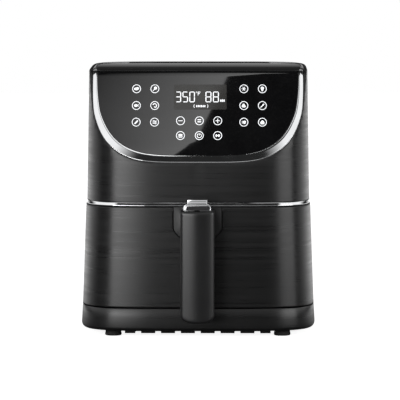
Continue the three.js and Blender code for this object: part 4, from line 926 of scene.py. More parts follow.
@dataclass(frozen=True)
class Boundary:
    """A closed line on the skin: where the form, drawn in, meets it.

    It is found in `rounds` steps from `first_height`, each by the share `pace` of the way to the skin.
    """

    form: BodyForm
    skin: Skin
    shoulder: float = 4.4
    shoulder_drop: float = 50.0
    first_height: float = 300.0
    rounds: int = 30
    pace: float = 0.6

    def shoulder_at(self, z: Array) -> Array:
        """How far the shoulder draws the trim in at a height."""
        low = self.form.height - self.shoulder_drop
        return np.interp(z, [low, self.form.height], [0.0, self.shoulder])

    def line(
        self, angle: Array, in_x: float, in_y: float, power: float, drop: float = 0.0, shoulder: bool = True
    ) -> Array:
        """Solves for the height at each plan angle by stepping between the plan and the skin.

        Args:
            angle: plan angles.
            in_x: how far in at the sides.
            in_y: how far in at the front and rear.
            power: the superellipse's power.
            drop: how far the skin is sunk.
            shoulder: whether the shoulder's draw counts.

        Returns:
            Points of the line.
        """
        z = np.full(np.shape(angle), self.first_height)
        for _ in range(self.rounds):
            draw = self.shoulder_at(z) if shoulder else 0.0
            plan = self.form.plan(angle, z, in_x + draw, in_y + draw, power)
            z = (1 - self.pace) * z + self.pace * self.skin.height_at(plan[..., 1], drop)
        return np.concatenate([plan, z[..., None]], axis=-1)


def loop_angles(count: int, crowding: float = 0.18) -> Array:
    """Plan angles of a closed line, closer together where the corners are."""
    even = np.linspace(0, 2 * np.pi, count, endpoint=False)
    return even - crowding * np.sin(4 * even)


# ---------------------------------------------------------------- sub-assemblies


@dataclass
class Housing:
    """Main shell, waist strip, rear grille and cord gland."""

    shop: Workshop
    form: BodyForm
    skin: Skin
    boundary: Boundary
    wall: float = 2.6
    foot: float = 162.2
    seam_z: float = 34.6
    seam_y: float = -43.1
    corner: float = 10.0
    strip: Pair = (157.5, 161.9)
    strip_edge: float = 0.7
    strip_play: float = 0.3
    edge: float = 0.4
    edge_drop: float = 1.7
    trim_cover: float = 0.5
    trim_play: float = 0.3
    trim_lean: float = 0.3
    trim_flat: float = 2.3
    band_power: Triple = (5.0, 0.2, 3.0)
    crest_radii: Pair = (0.25, 3.6)
    crest_fade: float = 1.5
    girth_height: float = 240.0
    grille: Triple = (64.3, 225.7, 298.3)
    gland: Triple = (62.0, 66.0, 9.3)

    def crest(self, angle: Array) -> tuple[Array, Array, Array]:
        """The wall's upper edge at each plan angle, on the skin or a little below it where the shoulder ends.

        Returns:
            The height at which its rounding starts, the rounding's radius and the flat beyond it.
        """
        full, edge = (
            self.boundary.line(angle, 0.0, 0.0, self.form.power, drop, shoulder=False)
            for drop in (0.0, self.edge_drop)
        )
        width = self.boundary.shoulder_at(full[:, 2])
        share = np.clip((width - self.trim_cover) / self.crest_fade, 0, 1)
        share = share * share * (3 - 2 * share)
        top = edge[:, 2] + (full[:, 2] - edge[:, 2]) * share
        radius = np.clip(width - self.trim_cover, *self.crest_radii)
        return top - radius, radius, np.clip(width - self.trim_play - radius, 0.0, None)

    def shell_surface(self, girth: Girth) -> Surface:
        """The shell as a surface of the distance round it and the height, carried on over its shoulder.

        Up to the crest it is the wall. Beyond, the parameter runs round a quarter circle and then
        level to the trim.

        Args:
            girth: the distance round the wall.

        Returns:
            The surface function.
        """

        def place(spots: Array, depth: Array) -> Array:
            angle = girth.angle(spots[:, 0])
            start, radius, _ = self.crest(angle)
            beyond = np.clip(spots[:, 1] - start, 0, None)
            turn = np.clip(beyond / radius, 0, np.pi / 2)
            level = np.clip(beyond - radius * np.pi / 2, 0, None)
            inward = radius * (1 - np.cos(turn)) + level + depth * np.cos(turn)
            z = np.where(beyond > 0, start + radius * np.sin(turn) - depth * np.sin(turn), spots[:, 1])
            plan = self.form.plan(angle, z, inward, inward)
            return np.column_stack([plan, z])

        return place

    def build_shell(self) -> None:
        """The shell: one wall from the base seam to the trim, open in front of the door seam."""
        girth = Girth(self.form, self.girth_height, np.pi / 2)
        half = girth.half
        seam = levelled(np.linspace(self.foot, self.seam_z + self.corner, 9), self.seam_y)[:, ::-1]
        turn = np.linspace(0, -np.pi / 2, 7)[1:]
        bend = oval(self.seam_y - self.corner, self.seam_z + self.corner, self.corner, self.corner, turn)
        low_side, high_side = (girth.at_y(np.vstack([seam, bend]), side) for side in (1.0, -1.0))
        round_top = np.linspace(half, -half, 421)
        start, radius, flat = self.crest(girth.angle(round_top))
        top = np.column_stack([round_top, start + radius * np.pi / 2 + flat])
        front = np.linspace(half, high_side[0, 0], 24)[:-1]
        outline = np.vstack([
            levelled(-front, self.foot),
            low_side,
            levelled(np.linspace(low_side[-1, 0], high_side[-1, 0], 80)[1:-1], self.seam_z),
            high_side[::-1],
            levelled(front[::-1], self.foot),
            top,
        ])
        turns = (0.0, 0.3, 0.62, 0.95, 1.28, np.pi / 2)
        lines = [np.column_stack([round_top, start + radius * t])[1:-1] for t in turns]
        gx, g0, g1 = self.grille
        grille = even_steps(np.array([[-gx, g0], [gx, g0], [gx, g1], [-gx, g1]]), 7.0)
        x, z, bore = self.gland
        holes = [girth.at_x(loop, 1.0) for loop in (grille, oval(x, z, bore, bore, 28))]

        def seams(middle: Array) -> Array:
            at_cut = np.abs(np.abs(middle[:, 0]) - half) < Sheet.AT_WRAP
            return at_cut | (middle[:, 1] > np.interp(middle[:, 0], round_top[::-1], (start + radius * 1.2)[::-1]))

        sheet = Sheet(
            self.shell_surface(girth), outline, self.wall, self.edge, holes, (6.0, 11.0), lines, seams, 0.4,
            wrap=half,
        )
        ledge = self.ring_band([(0.9, 3.45), (7.6, 3.45), (7.6, 5.9), (0.9, 5.9)])
        self.shop.piece("shell_skin", sheet.build().joined(ledge), Palette.SATIN, "housing", ["main_shell"])

    def ring_band(self, corners: Sequence[Pair], count: int = 240, ratio: float = 0.87) -> MeshParts:
        """A closed band round the skin's edge, its superellipse's power falling with the distance in.

        Args:
            corners: pairs of distance in and drop below the skin.
            count: steps round it.
            ratio: the distance in at the front and rear for one at the sides.

        Returns:
            The mesh.
        """
        angle = loop_angles(count)
        power, fall, last = self.band_power
        rows = [
            self.boundary.line(angle, inset, inset * ratio, power - fall * min(inset, last), drop)
            for inset, drop in corners
        ]
        return swept(np.stack(rows, axis=1))

    def build_trim(self) -> None:
        """The chrome trim: a face that leans outwards between two soft edges, and a dark ring under it, painted shade
        for the gap between trim and shell.
        """
        across = np.array([0.0, 0.03, 0.08, 0.16, 0.3, 0.5, 0.8, 1.2, 1.6, 2.0, 2.25, 2.5, 2.7, 2.87, 3.0])
        lean = self.trim_lean * np.clip(self.trim_flat - across, 0, None)
        ends = np.interp(across, [0.0, 0.03, 0.08, 0.16, 2.7, 2.87, 3.0], [0.15, 0.07, 0.02, 0.0, 0.0, 0.03, 0.14])
        profile = [(0.0, 1.38), (0.0, 0.88), *zip(across.tolist(), (lean + ends).tolist()), (3.0, 1.38)]
        trim = self.ring_band(profile, 480, 2.6 / 3)
        self.shop.piece("chrome_trim", trim, Palette.CHROME, "housing", ["panel_trim"])
        # Painted shade: a dark ring over the trim's outer flank, in place of the shadow gap between trim and shell.
        shadow_ring = self.ring_band([(-0.05, 1.68), (-0.05, 0.87), (0.4, 0.87), (0.4, 1.68)], 480)
        self.shop.piece("trim_shadow_ring", shadow_ring, Palette.MATT, "housing")

    def build_strip(self) -> None:
        """The chrome strip above the drawer: a rounded band carried round the front from seam to seam."""
        low, high = self.strip
        soft, turn = self.strip_edge, np.linspace(0, np.pi / 2, 5)
        up, out = soft * (1 - np.cos(turn)), soft * (1 - np.sin(turn))
        flat = np.array([low + 1.25 * soft, high - 1.25 * soft])
        rise = np.concatenate([[low], low + up, flat, high - up[::-1], [high]])
        draw = np.concatenate([[self.wall], out, 0 * flat, out[::-1], [self.wall]])
        left, right = (self.form.angle_at_y(self.seam_y - self.strip_play, rise, side) for side in (-1.0, 1.0))
        share = np.linspace(0, 1, 240)[:, None]
        angle = left + (right - left) * share
        plan = self.form.plan(angle, rise + 0 * angle, draw, draw)
        rings = np.concatenate([plan, np.broadcast_to(rise, angle.shape)[..., None]], axis=-1)
        self.shop.piece("waist_chrome", swept(rings, closed=False), Palette.CHROME, "housing", ["waist_strip"])

    def build(self) -> None:
        """Builds the whole housing."""
        self.build_shell()
        self.build_trim()
        self.build_strip()
        self.shop.carried(Palette.MOULDED, 0.4, "rear_grille")
        self.shop.carried(Palette.RUBBER, 0.5, "cord_gland")


class Glyph(Enum):
    """The pictograms inside the rings: discs (x, y, half width, half height) and lines (points, width).

    Each is drawn in a square from -1 to 1 with y downwards. They stand in their order on the panel: from left
    to right and from top to bottom, first the left side, then the right side and then the keys.
    """

    STEAK = ((-0.08, 0.02, 0.42, 0.26), (0.22, -0.08, 0.24, 0.22)), ()
    DRUMSTICK = ((0.12, -0.14, 0.30, 0.28),), ((((0.0, 0.02), (-0.36, 0.40)), 0.15),)
    FISH = ((-0.08, 0.0, 0.38, 0.24),), ((((0.22, 0.0), (0.46, -0.2)), 0.12), (((0.22, 0.0), (0.46, 0.2)), 0.12))
    SHRIMP = (), (
        (((-0.36, -0.1), (-0.2, -0.34), (0.1, -0.36), (0.34, -0.12), (0.32, 0.2), (0.06, 0.36), (-0.1, 0.2)), 0.2),
    )
    SAUSAGE = (), ((((-0.3, 0.32), (0.0, 0.06), (0.3, -0.32)), 0.32),)
    RASHERS = (), tuple(
        (tuple(zip((-0.36, -0.1, 0.14, 0.38), row)), 0.15)
        for row in ((-0.2, -0.3, -0.14, -0.24), (0.02, -0.06, 0.08, 0.0), (0.26, 0.18, 0.32, 0.24))
    )
    FROST = (), tuple((((-x, -y), (x, y)), 0.12) for x, y in ((0.42, 0.0), (0.21, 0.38), (0.21, -0.38)))
    MUFFIN = ((0.0, -0.12, 0.32, 0.3),), ((((0.0, 0.12), (0.0, 0.46)), 0.38),)
    LEAVES = ((-0.14, 0.1, 0.26, 0.26), (0.14, 0.16, 0.24, 0.2), (-0.04, -0.18, 0.2, 0.2)), ()
    CARROT = (), ((((-0.34, 0.36), (0.1, -0.06)), 0.2), (((0.08, -0.06), (0.3, -0.3)), 0.34))
    BREAD = ((0.12, -0.08, 0.28, 0.2),), ((((0.12, -0.04), (0.12, 0.34)), 0.46), (((-0.3, -0.24), (-0.3, 0.3)), 0.12))
    ROAST = ((0.0, 0.1, 0.4, 0.26), (0.0, -0.12, 0.24, 0.2)), ((((-0.42, 0.36), (0.42, 0.36)), 0.1),)
    MINUS = (), ((((-0.42, 0.0), (0.42, 0.0)), 0.17),)
    SWITCH = (), tuple((((-0.34, y), (0.34, y)), 0.26) for y in (-0.2, 0.2))
    PLUS = (), (
        (((-0.42, 0.0), (0.42, 0.0)), 0.17), (((0.0, -0.42), (0.0, -0.085)), 0.17), (((0.0, 0.085), (0.0, 0.42)), 0.17)
    )
    BOWL = ((0.0, -0.12, 0.4, 0.2),), ((((-0.44, 0.16), (0.44, 0.16)), 0.12), (((-0.34, 0.36), (0.34, 0.36)), 0.12))
    POWER = (), (
        (
            ((-0.2, -0.34), (-0.4, -0.1), (-0.38, 0.2), (-0.16, 0.4), (0.16, 0.4), (0.38, 0.2), (0.4, -0.1),
             (0.2, -0.34)),
            0.15,
        ),
        (((0.0, -0.44), (0.0, 0.0)), 0.15),
    )
    PAUSE = ((-0.24, 0.0, 0.17, 0.26), (0.24, 0.0, 0.17, 0.26)), ((((-0.2, 0.0), (0.2, 0.0)), 0.14),)


class Marks:
    """Flat marks in the panel's own two directions, each with a small thickness."""

    SEGMENTS = {"3": "abgcd", "5": "afgcd", "0": "abcdef", "8": "abcdefg"}
    GAP = 0.15  # how far a segment stops short at each end
    ROOT = -0.02  # how deep the marks' lower side lies under the face

    def __init__(self, height: float) -> None:
        """Keeps how far the marks stand over the face, and starts with none."""
        self.height = height
        self.parts: list[MeshParts] = []

    def ribbon(self, points: Array, width: float, closed: bool = False) -> None:
        """Adds a line with a width: its two sides lie half the width away along the mean normal.

        Args:
            points: the line's points.
            width: its width.
            closed: whether it runs back to its first point.
        """
        line = np.asarray(points, float)
        before = np.roll(line, 1, axis=0) if closed else np.vstack([2 * line[0] - line[1], line[:-1]])
        after = np.roll(line, -1, axis=0) if closed else np.vstack([line[1:], 2 * line[-1] - line[-2]])
        one = (line - before) / np.linalg.norm(line - before, axis=1, keepdims=True)
        two = (after - line) / np.linalg.norm(after - line, axis=1, keepdims=True)
        mean = (one + two) / np.linalg.norm(one + two, axis=1, keepdims=True)
        side = np.column_stack([-mean[:, 1], mean[:, 0]])
        reach = 0.5 * width / np.clip((mean * one).sum(axis=1, keepdims=True), 0.6, 1)
        rings = [
            levelled(line + sign * side * reach, level)
            for sign, level in ((1, self.height), (-1, self.height), (-1, self.ROOT), (1, self.ROOT))
        ]
        self.parts.append(swept(np.stack(rings, axis=1), closed))

    def patch(self, loop: Array) -> None:
        """Adds a filled outline."""
        count = len(loop)
        above, below = (levelled(loop, level) for level in (self.height, self.ROOT))
        order = np.arange(count)
        sides = np.column_stack([order, (order + 1) % count, (order + 1) % count + count, order + count])
        faces = [order[::-1].tolist(), (order + count).tolist(), *sides.tolist()]
        self.parts.append(MeshParts(np.vstack([above, below]), faces))

    def ringed(self, x: float, y: float, half: Pair, glyph: Glyph, stroke: float = 0.8, scale: float = 1.3) -> None:
        """Adds a ring with its pictogram.

        Args:
            x: place of its middle across the panel.
            y: place of its middle down the panel.
            half: half width and half height of the ring's line.
            glyph: the pictogram.
            stroke: the ring's line width.
            scale: the pictogram's size for a ring of the size 1.
        """
        size, middle = np.array(half), np.array([x, y])
        self.ribbon(oval(x, y, *half, 40), stroke, closed=True)
        discs, lines = glyph.value
        for disc in discs:
            self.patch(middle + size * scale * oval(*disc, 20))
        for points, width in lines:
            self.ribbon(middle + size * scale * np.array(points), width * size.mean())

    def digit(self, figure: str, x: float, y: float, width: float, height: float, stroke: float) -> None:
        """Adds one seven-segment figure, each lit segment a bar with pointed ends.

        Args:
            figure: the figure.
            x: its left side.
            y: its top.
            width: its width.
            height: its height.
            stroke: the segments' width.
        """
        half = stroke / 2
        left, right, top, low = x + half, x + width - half, y + half, y + height - half
        middle = 0.5 * (top + low)
        ends = {
            "a": ((left, top), (right, top)), "g": ((left, middle), (right, middle)), "d": ((left, low), (right, low)),
            "f": ((left, top), (left, middle)), "b": ((right, top), (right, middle)),
            "e": ((left, middle), (left, low)), "c": ((right, middle), (right, low)),
        }
        for segment in self.SEGMENTS[figure]:
            a, b = (np.array(end) for end in ends[segment])
            along = (b - a) / np.linalg.norm(b - a)
            side, tip = np.array([-along[1], along[0]]) * half, along * half
            a, b = a + along * self.GAP, b - along * self.GAP
            self.patch(np.array([a, a + tip + side, b - tip + side, b, b - tip - side, a + tip - side]))

    def block(self, x0: float, x1: float, y0: float, y1: float) -> None:
        """Adds a plain bar."""
        self.patch(np.array([[x0, y0], [x1, y0], [x1, y1], [x0, y1]]))

    def joined(self) -> MeshParts:
        """Returns every mark as one mesh."""
        return self.parts[0].joined(*self.parts[1:])


@dataclass
class ControlPanel:
    """The gloss panel, the top cover behind it, the display window and the lit marks."""

    shop: Workshop
    form: BodyForm
    skin: Skin
    boundary: Boundary
    recess: float = 0.5
    thickness: float = 2.6
    edge: float = 0.45
    groove: float = 1.4
    crown: float = 0.6
    middle: float = 1.5
    side_columns: tuple[float, ...] = (-75.9, -53.7, 54.0, 76.4)
    side_rows: tuple[float, ...] = (26.8, 49.8, 72.5)
    key_columns: tuple[float, ...] = (-22.4, 0.3, 22.5)
    key_rows: tuple[float, ...] = (70.6, 90.8)
    ring: Pair = (4.85, 5.5)
    window: Quad = (-30.6, 33.2, 20.9, 55.2)
    window_corner: float = 1.5
    window_height: float = 0.04
    mark_height: float = 0.12
    figures: Triple = (30.6, 14.7, 1.15)
    edge_inset: Triple = (3.3, 2.9, 4.4)

    def edge_line(self, in_front: bool) -> Array:
        """The outline of the panel (in front of the groove) or the cover (behind it).

        Args:
            in_front: True for the panel.

        Returns:
            The loop in x and distance down the skin.
        """
        side, sunk = -1 if in_front else 1, self.recess * self.skin.sink
        groove_y = self.skin.top_y + sunk + side * self.groove / 2
        points = self.boundary.line(loop_angles(720), *self.edge_inset, self.recess)
        kept = points[side * points[:, 1] > side * groove_y]
        kept = kept[np.argsort(np.arctan2(kept[:, 1] - (groove_y - side * 30), kept[:, 0]))]
        start = np.argmax(np.linalg.norm(np.diff(np.vstack([kept, kept[:1]]), axis=0), axis=1)) + 1
        kept = np.roll(kept, -start, axis=0)
        spots = np.column_stack([kept[:, 0], self.skin.along(kept[:, 1] - sunk)])
        last, first = np.sign(kept[[-1, 0], 0]) * np.abs(kept[[0, -1], 0]).mean()
        return np.vstack([spots, levelled(np.linspace(last, first, 40), self.skin.along(groove_y - sunk))])

    def face(self, spots: Array, depth: Array) -> Array:
        """The panel's face: the skin sunk by the recess, and crowned a little where it is the top."""
        placed = self.skin.place(spots, depth + self.recess)
        middle = 0.5 * (self.skin.top_y + self.form.centre_y + self.form.halves(self.form.height)[1])
        fall = np.clip((placed[:, 1] - middle) / (middle - self.skin.top_y), -1, 1) ** 2
        placed[:, 2] -= self.crown * fall * (placed[:, 1] > self.skin.top_y)
        return placed

    def build_faces(self) -> None:
        """The panel and the top cover."""
        for name, node, in_front in (("panel_face", "control_panel", True), ("cover_face", "top_cover", False)):
            lattice = (9.0, 4.0 if in_front else 9.0)
            sheet = Sheet(self.face, self.edge_line(in_front), self.thickness, self.edge, lattice=lattice)
            self.shop.piece(name, sheet.build(), Palette.GLOSS, "housing", [node])

    def laid(self, name: str, marks: Marks, finish: Finish) -> None:
        """Lays marks on the panel.

        Args:
            name: the piece's name.
            marks: marks in x and distance down the slope from the panel's top, with their heights.
            finish: their finish.
        """
        parts = marks.joined()
        start = self.skin.along(self.skin.top_y - self.skin.SOFT) - self.skin.SOFT / np.sin(self.skin.TILT)
        spots = parts.points[:, :2] + [self.middle, start]
        normal = np.array([0.0, -np.cos(self.skin.TILT), np.sin(self.skin.TILT)])
        points = self.face(spots, np.zeros(len(spots))) + normal * parts.points[:, 2:]
        self.shop.piece(name, MeshParts(points, parts.faces), finish, "housing", sharp=20.0)

    def build_marks(self) -> None:
        """The display window, its figures, and the ringed pictograms and keys."""
        pane = Marks(self.window_height)
        pane.patch(rounded_box(*self.window, self.window_corner))
        self.laid("display_window", pane, Palette.WINDOW)
        lit = Marks(self.mark_height)
        top, height, stroke = self.figures
        for figures, width, places in (("350", 6.7, (-28.5, -20.2, -11.9)), ("88", 7.2, (7.6, 16.6))):
            for figure, x in zip(figures, places):
                lit.digit(figure, x, top, width, height, stroke)
        lit.ribbon(oval(-3.2, 31.6, 0.6, 0.7, 14), 0.4, closed=True)
        for bar in ((-1.7, -1.0, 30.9, 35.8), (-1.0, 1.4, 30.9, 31.8), (-1.0, 0.8, 33.0, 33.8)):
            lit.block(*bar)
        for x in (25.4, 27.4, 29.4):
            lit.block(x, x + 1.5, 41.6, 44.6)
        for x in np.linspace(-3.6, 6.2, 6):
            lit.block(x, x + 1.3, 49.3, 52.0)
        for sign, x in ((-1, -5.6), (1, 9.8)):
            bow = np.linspace(-1, 1, 7)
            lit.ribbon(np.column_stack([x + sign * 0.9 * (1 - bow**2), 50.6 + 2.3 * bow]), 0.6)
        pairs = (self.side_columns[:2], self.side_columns[2:])
        sides = [(x, y) for pair in pairs for y in self.side_rows for x in pair]
        keys = [(x, y) for y in self.key_rows for x in self.key_columns]
        for (x, y), glyph in zip([*sides, *keys], Glyph):
            lit.ringed(x, y, self.ring, glyph)
        self.laid("lit_marks", lit, Palette.GLOW)

    def build(self) -> None:
        """Builds the panel, the cover and the marks."""
        self.build_faces()
        self.build_marks()


@dataclass
class Base:
    """Base tray, vented plate and the four feet."""

    shop: Workshop
    form: BodyForm
    floor: float = 7.1
    top: float = 34.3
    wall: float = 3.0
    bend_in: float = 3.4
    bend_up: float = 4.6
    intake: Pair = (60.0, 75.0)

    def build_tray(self) -> None:
        """The tray: rings from the intake's edge round the rounded bottom edge and up the wall.

        The outer rings are the plan at rising heights, drawn in along a quarter ellipse below. The
        inner ones follow 3 mm inside and end at the intake's edge.
        """
        angle = loop_angles(300)
        half_x, half_y = self.intake
        reach = 1 / np.maximum(np.abs(np.cos(angle)) / half_x, np.abs(np.sin(angle)) / half_y)
        opening = np.column_stack([reach * np.cos(angle), self.form.centre_y + reach * np.sin(angle)])
        turn = np.linspace(0, np.pi / 2, 7)
        outer = [
            (self.bend_in + 6.0, self.floor),
            *((self.bend_in * (1 - np.sin(t)), self.floor + self.bend_up * (1 - np.cos(t))) for t in turn),
            (0.0, 23.0), (0.0, self.top - 0.9), (0.25, self.top - 0.25), (0.9, self.top),
            (self.wall, self.top), (self.wall, self.floor + 9.0), (self.wall + self.bend_in, self.floor + self.wall),
        ]
        walls = [levelled(self.form.plan(angle, z + 0 * angle, inset, inset), z) for inset, z in outer]
        rows = [levelled(opening, self.floor), *walls, levelled(opening, self.floor + self.wall)]
        self.shop.piece("base_shell", swept(np.stack(rows, axis=1)), Palette.SATIN, "housing", ["base_tray"])

    def build_feet(self) -> None:
        """Rubber feet: a turned profile with a soft rim and a shallow cup below."""
        for name in (f"foot_{corner}" for corner in CORNERS):
            low, high = node_box(name)
            x, y = 0.5 * (low + high)[:2]
            top = high[2]
            profile = [
                (0.01, 0.5), (5.0, 0.5), (5.8, 0.0), (8.4, 0.0), (9.5, 0.4), (10.0, 1.4), (10.0, 2.2),
                (9.4, top - 0.6), (9.0, top), (0.01, top),
            ]
            self.shop.piece(f"{name}_pad", revolved(profile, x, y), Palette.RUBBER, "housing", [name])

    def build(self) -> None:
        """Builds the base."""
        self.build_tray()
        self.build_feet()
        self.shop.carried(Palette.MATT, 0.3, "base_plate")


@dataclass
class Drawer:
    """Drawer front with its shield notch, and the pan, basket and rim behind it."""

    shop: Workshop
    form: BodyForm
    waist: float = 156.4
    seam_y: float = -43.9
    bottom: float = 35.4
    corner: float = 9.2
    wall: float = 3.0
    edge: float = 0.9
    shield_half: float = 28.8
    shield_waist: float = 19.0
    shield_gap: float = 0.6
    shield_straight: float = 24.0
    shield_curve: float = 13.0
    shield_foot: float = 44.0
    girth_height: float = 100.0

    def shield(self, grow: float, top: float) -> Array:
        """The shield's outline in x and z: straight sides, a curve in to the waist and a bowed foot.

        Args:
            grow: how far it is grown all round.
            top: the height of its upper end.

        Returns:
            Points from the upper left to the upper right.
        """
        half, waist = self.shield_half + grow, self.shield_waist + grow
        straight, curve = self.waist - self.shield_straight, self.shield_curve
        a, b, c = np.array([[-half, straight], [-half, straight - curve / 2], [-waist, straight - curve]])
        side = bowed(a, b, c, 13)
        foot = bowed(c, np.array([0.0, self.waist - self.shield_foot - grow]), c * [-1, 1], 25)
        down = levelled(np.linspace(top, straight, 5), -half)[:, ::-1]
        return np.vstack([down[:-1], side, foot[1:-1], side[::-1] * [-1, 1], down[::-1][1:] * [-1, 1]])

    def build_front(self) -> None:
        """The drawer front: the body's wall from seam to seam, cut round the shield."""
        girth = Girth(self.form, self.girth_height, -np.pi / 2)
        turn = np.linspace(-np.pi / 2, 0, 9)
        bend = oval(self.seam_y - self.corner, self.bottom + self.corner, self.corner, self.corner, turn)
        rise = levelled(np.linspace(self.bottom + self.corner, self.waist, 21)[1:], self.seam_y)[:, ::-1]
        right = girth.at_y(np.vstack([bend, rise]), 1.0)
        cut = girth.at_x(self.shield(self.shield_gap, self.waist), -1.0)
        top_right = levelled(np.linspace(right[-1, 0], cut[-1, 0], 30)[1:-1], self.waist)
        low = levelled(np.linspace(-right[0, 0], right[0, 0], 70)[1:-1], self.bottom)
        outline = np.vstack([low, right, top_right, cut[::-1], top_right[::-1] * [-1, 1], right[::-1] * [-1, 1]])
        sheet = Sheet(girth.wall, outline, self.wall, self.edge, lattice=(6.0, 11.0))
        self.shop.piece("drawer_face", sheet.build(), Palette.SATIN, "drawer", ["drawer_front"])

    def build(self) -> None:
        """Builds the drawer."""
        self.build_front()
        self.shop.carried(Palette.COATED, 0.4, "drawer_pan", "basket")
        self.shop.carried(Palette.MATT, 0.5, "drawer_rim", "drawer_rail_left", "drawer_rail_right")
        self.shop.carried(Palette.RUBBER, 0.5, *(f"basket_bumper_{corner}" for corner in CORNERS))


@dataclass
class Handle:
    """The grip in two shells, its screws, the bracket with the shield, and the release."""

    shop: Workshop
    half: float = 20.25
    front: float = -179.0
    split: float = -159.5
    back: float = -152.0
    gap: float = 0.3
    end_rise: float = 10.5
    end_power: float = 2.5
    crown: float = 4.4
    wall: float = 2.6
    front_wall: float = 2.0
    front_edge: float = 3.4
    hollow_edge: float = 0.8
    back_edge: float = 1.25
    arm_half: float = 17.3
    arm_low: float = 121.7
    screws: Pair = (104.0, 34.7)
    screw_hole: float = 3.75
    screw_edge: float = 0.5
    slot: tuple[Pair, Pair] = ((-3.3, -176.7), (3.3, -161.6))
    slot_depth: float = 5.2
    wire_radius: float = 0.44
    wire_turns: int = 3
    lip: Quad = (156.2, 162.95, 15.55, 5.2)
    lip_y: float = -169.2
    lip_radius: float = 0.72
    grooves: Pair = (164.5, 166.5)
    groove_half: Pair = (10.4, 0.3)
    field: Quad = (-13.4, 13.4, 156.0, 160.6)
    mark_height: float = 0.06
    block_y: float = -168.0
    field_y: float = -169.7

    def outline(self, inset: float, low: float, top: float) -> Array:
        """The grip's outline in x and z: straight sides and a superellipse end.

        Args:
            inset: how far it is drawn in.
            low: height of its lower end before that.
            top: height of its upper end.

        Returns:
            The closed loop.
        """
        half, rise = self.half - inset, self.end_rise
        turn = np.linspace(0, -np.pi, 41)
        reach = 2 / self.end_power
        end = np.column_stack([
            half * np.sign(np.cos(turn)) * np.abs(np.cos(turn)) ** reach,
            low + rise - (rise - inset) * np.abs(np.sin(turn)) ** reach,
        ])
        end[[0, -1], 0] = half, -half
        return even_steps(np.vstack([[[-half, top - inset], [half, top - inset]], end]), 5.0)

    def build_front(self) -> None:
        """The front shell: a crowned cap, open at the back.

        Its face falls away from the middle by the crown times the square of the share of the half
        width. Both the outside and the hollow are such caps, and a flat ring joins them at the back.
        """
        low, top = (corner[2] for corner in node_box("handle_grip"))
        depth = self.split - self.gap - self.front

        def face(start: float) -> Surface:
            total = self.split - self.gap - start

            def place(spots: Array, sunk: Array) -> Array:
                fall = self.crown * (spots[:, 0] / self.half) ** 2 * (1 - sunk / total)
                return np.column_stack([spots[:, 0], start + fall + sunk, spots[:, 1]])

            return place

        outer_loop = self.outline(0.0, low, top)
        inner_loop = self.outline(self.wall, low, top)
        outside = Sheet(face(self.front), outer_loop, depth, self.front_edge, lattice=(3.2, 5.0), steps=6)
        sunk = face(self.front + self.front_wall)
        hollow = Sheet(sunk, inner_loop, depth - self.front_wall, self.hollow_edge, lattice=(5.0, 7.0))
        ring = Sheet(face(self.front), outer_loop, depth, 0.0, [inner_loop], (90.0, 400.0))
        shell = outside.build(back=False).joined(hollow.build(back=False), ring.build(back_only=True))
        grip = self.shop.piece("grip_front", shell, Palette.SATIN_GRIP, "drawer", ["handle_grip"])
        (x0, y0), (x1, y1) = self.slot
        self.shop.slotted(grip, (x0, y0, top - self.slot_depth), (x1, y1, top + 1.0))

    def build_back(self) -> None:
        """The back shell: a plate with soft edges, cut for the arm and the screws."""
        low, top = (corner[2] for corner in node_box("handle_back"))
        grip = self.outline(0.0, low, top)
        grip = grip[~((grip[:, 1] > top - 1e-6) & (np.abs(grip[:, 0]) < self.half - 1e-6))]
        start = int(np.argmax((grip[:, 1] > top - 1e-6) & (grip[:, 0] > 0)))
        grip = np.roll(grip, -start, axis=0)
        notch = even_steps(np.array([
            [-self.half, top], [-self.arm_half, top], [-self.arm_half, self.arm_low],
            [self.arm_half, self.arm_low], [self.arm_half, top], [self.half, top],
        ]), 6.0)
        last = int(np.argmax((np.abs(notch[:, 0] - self.half) < 1e-6) & (notch[:, 1] > top - 1e-6)))
        loop = np.vstack([grip, notch[1:last]])

        def face(spots: Array, sunk: Array) -> Array:
            return np.column_stack([spots[:, 0], self.back - sunk, spots[:, 1]])

        holes = [oval(0.0, z, self.screw_hole, self.screw_hole, 24) for z in self.screws]
        sheet = Sheet(
            face, loop, self.back - self.split, self.back_edge, holes, (4.0, 6.0), hole_edge=self.screw_edge, steps=4
        )
        self.shop.piece("grip_back", sheet.build(), Palette.SATIN_GRIP, "drawer", ["handle_back"])

    def build_spring(self) -> None:
        """The button's spring: a round wire wound up three turns."""
        low, high = node_box("button_spring")
        thick, middle = self.wire_radius, (low + high) / 2
        radius = (high[0] - low[0]) / 2 - thick
        turn = np.linspace(0, 2 * np.pi * self.wire_turns, 24 * self.wire_turns + 1)
        outwards = np.column_stack([np.cos(turn), np.sin(turn), np.zeros_like(turn)])
        wire = middle * [1, 1, 0] + radius * outwards
        wire[:, 2] = np.linspace(low[2] + thick, high[2] - thick, len(turn))
        around = np.linspace(0, 2 * np.pi, 8, endpoint=False)[None, :, None]
        rings = wire[:, None] + thick * (np.cos(around) * outwards[:, None] + np.sin(around) * np.array([0, 0, 1]))
        coil = swept(rings, closed=False)
        spring = self.shop.piece("release_spring", coil, Palette.STEEL, "drawer", ["button_spring"])
        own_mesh(spring)

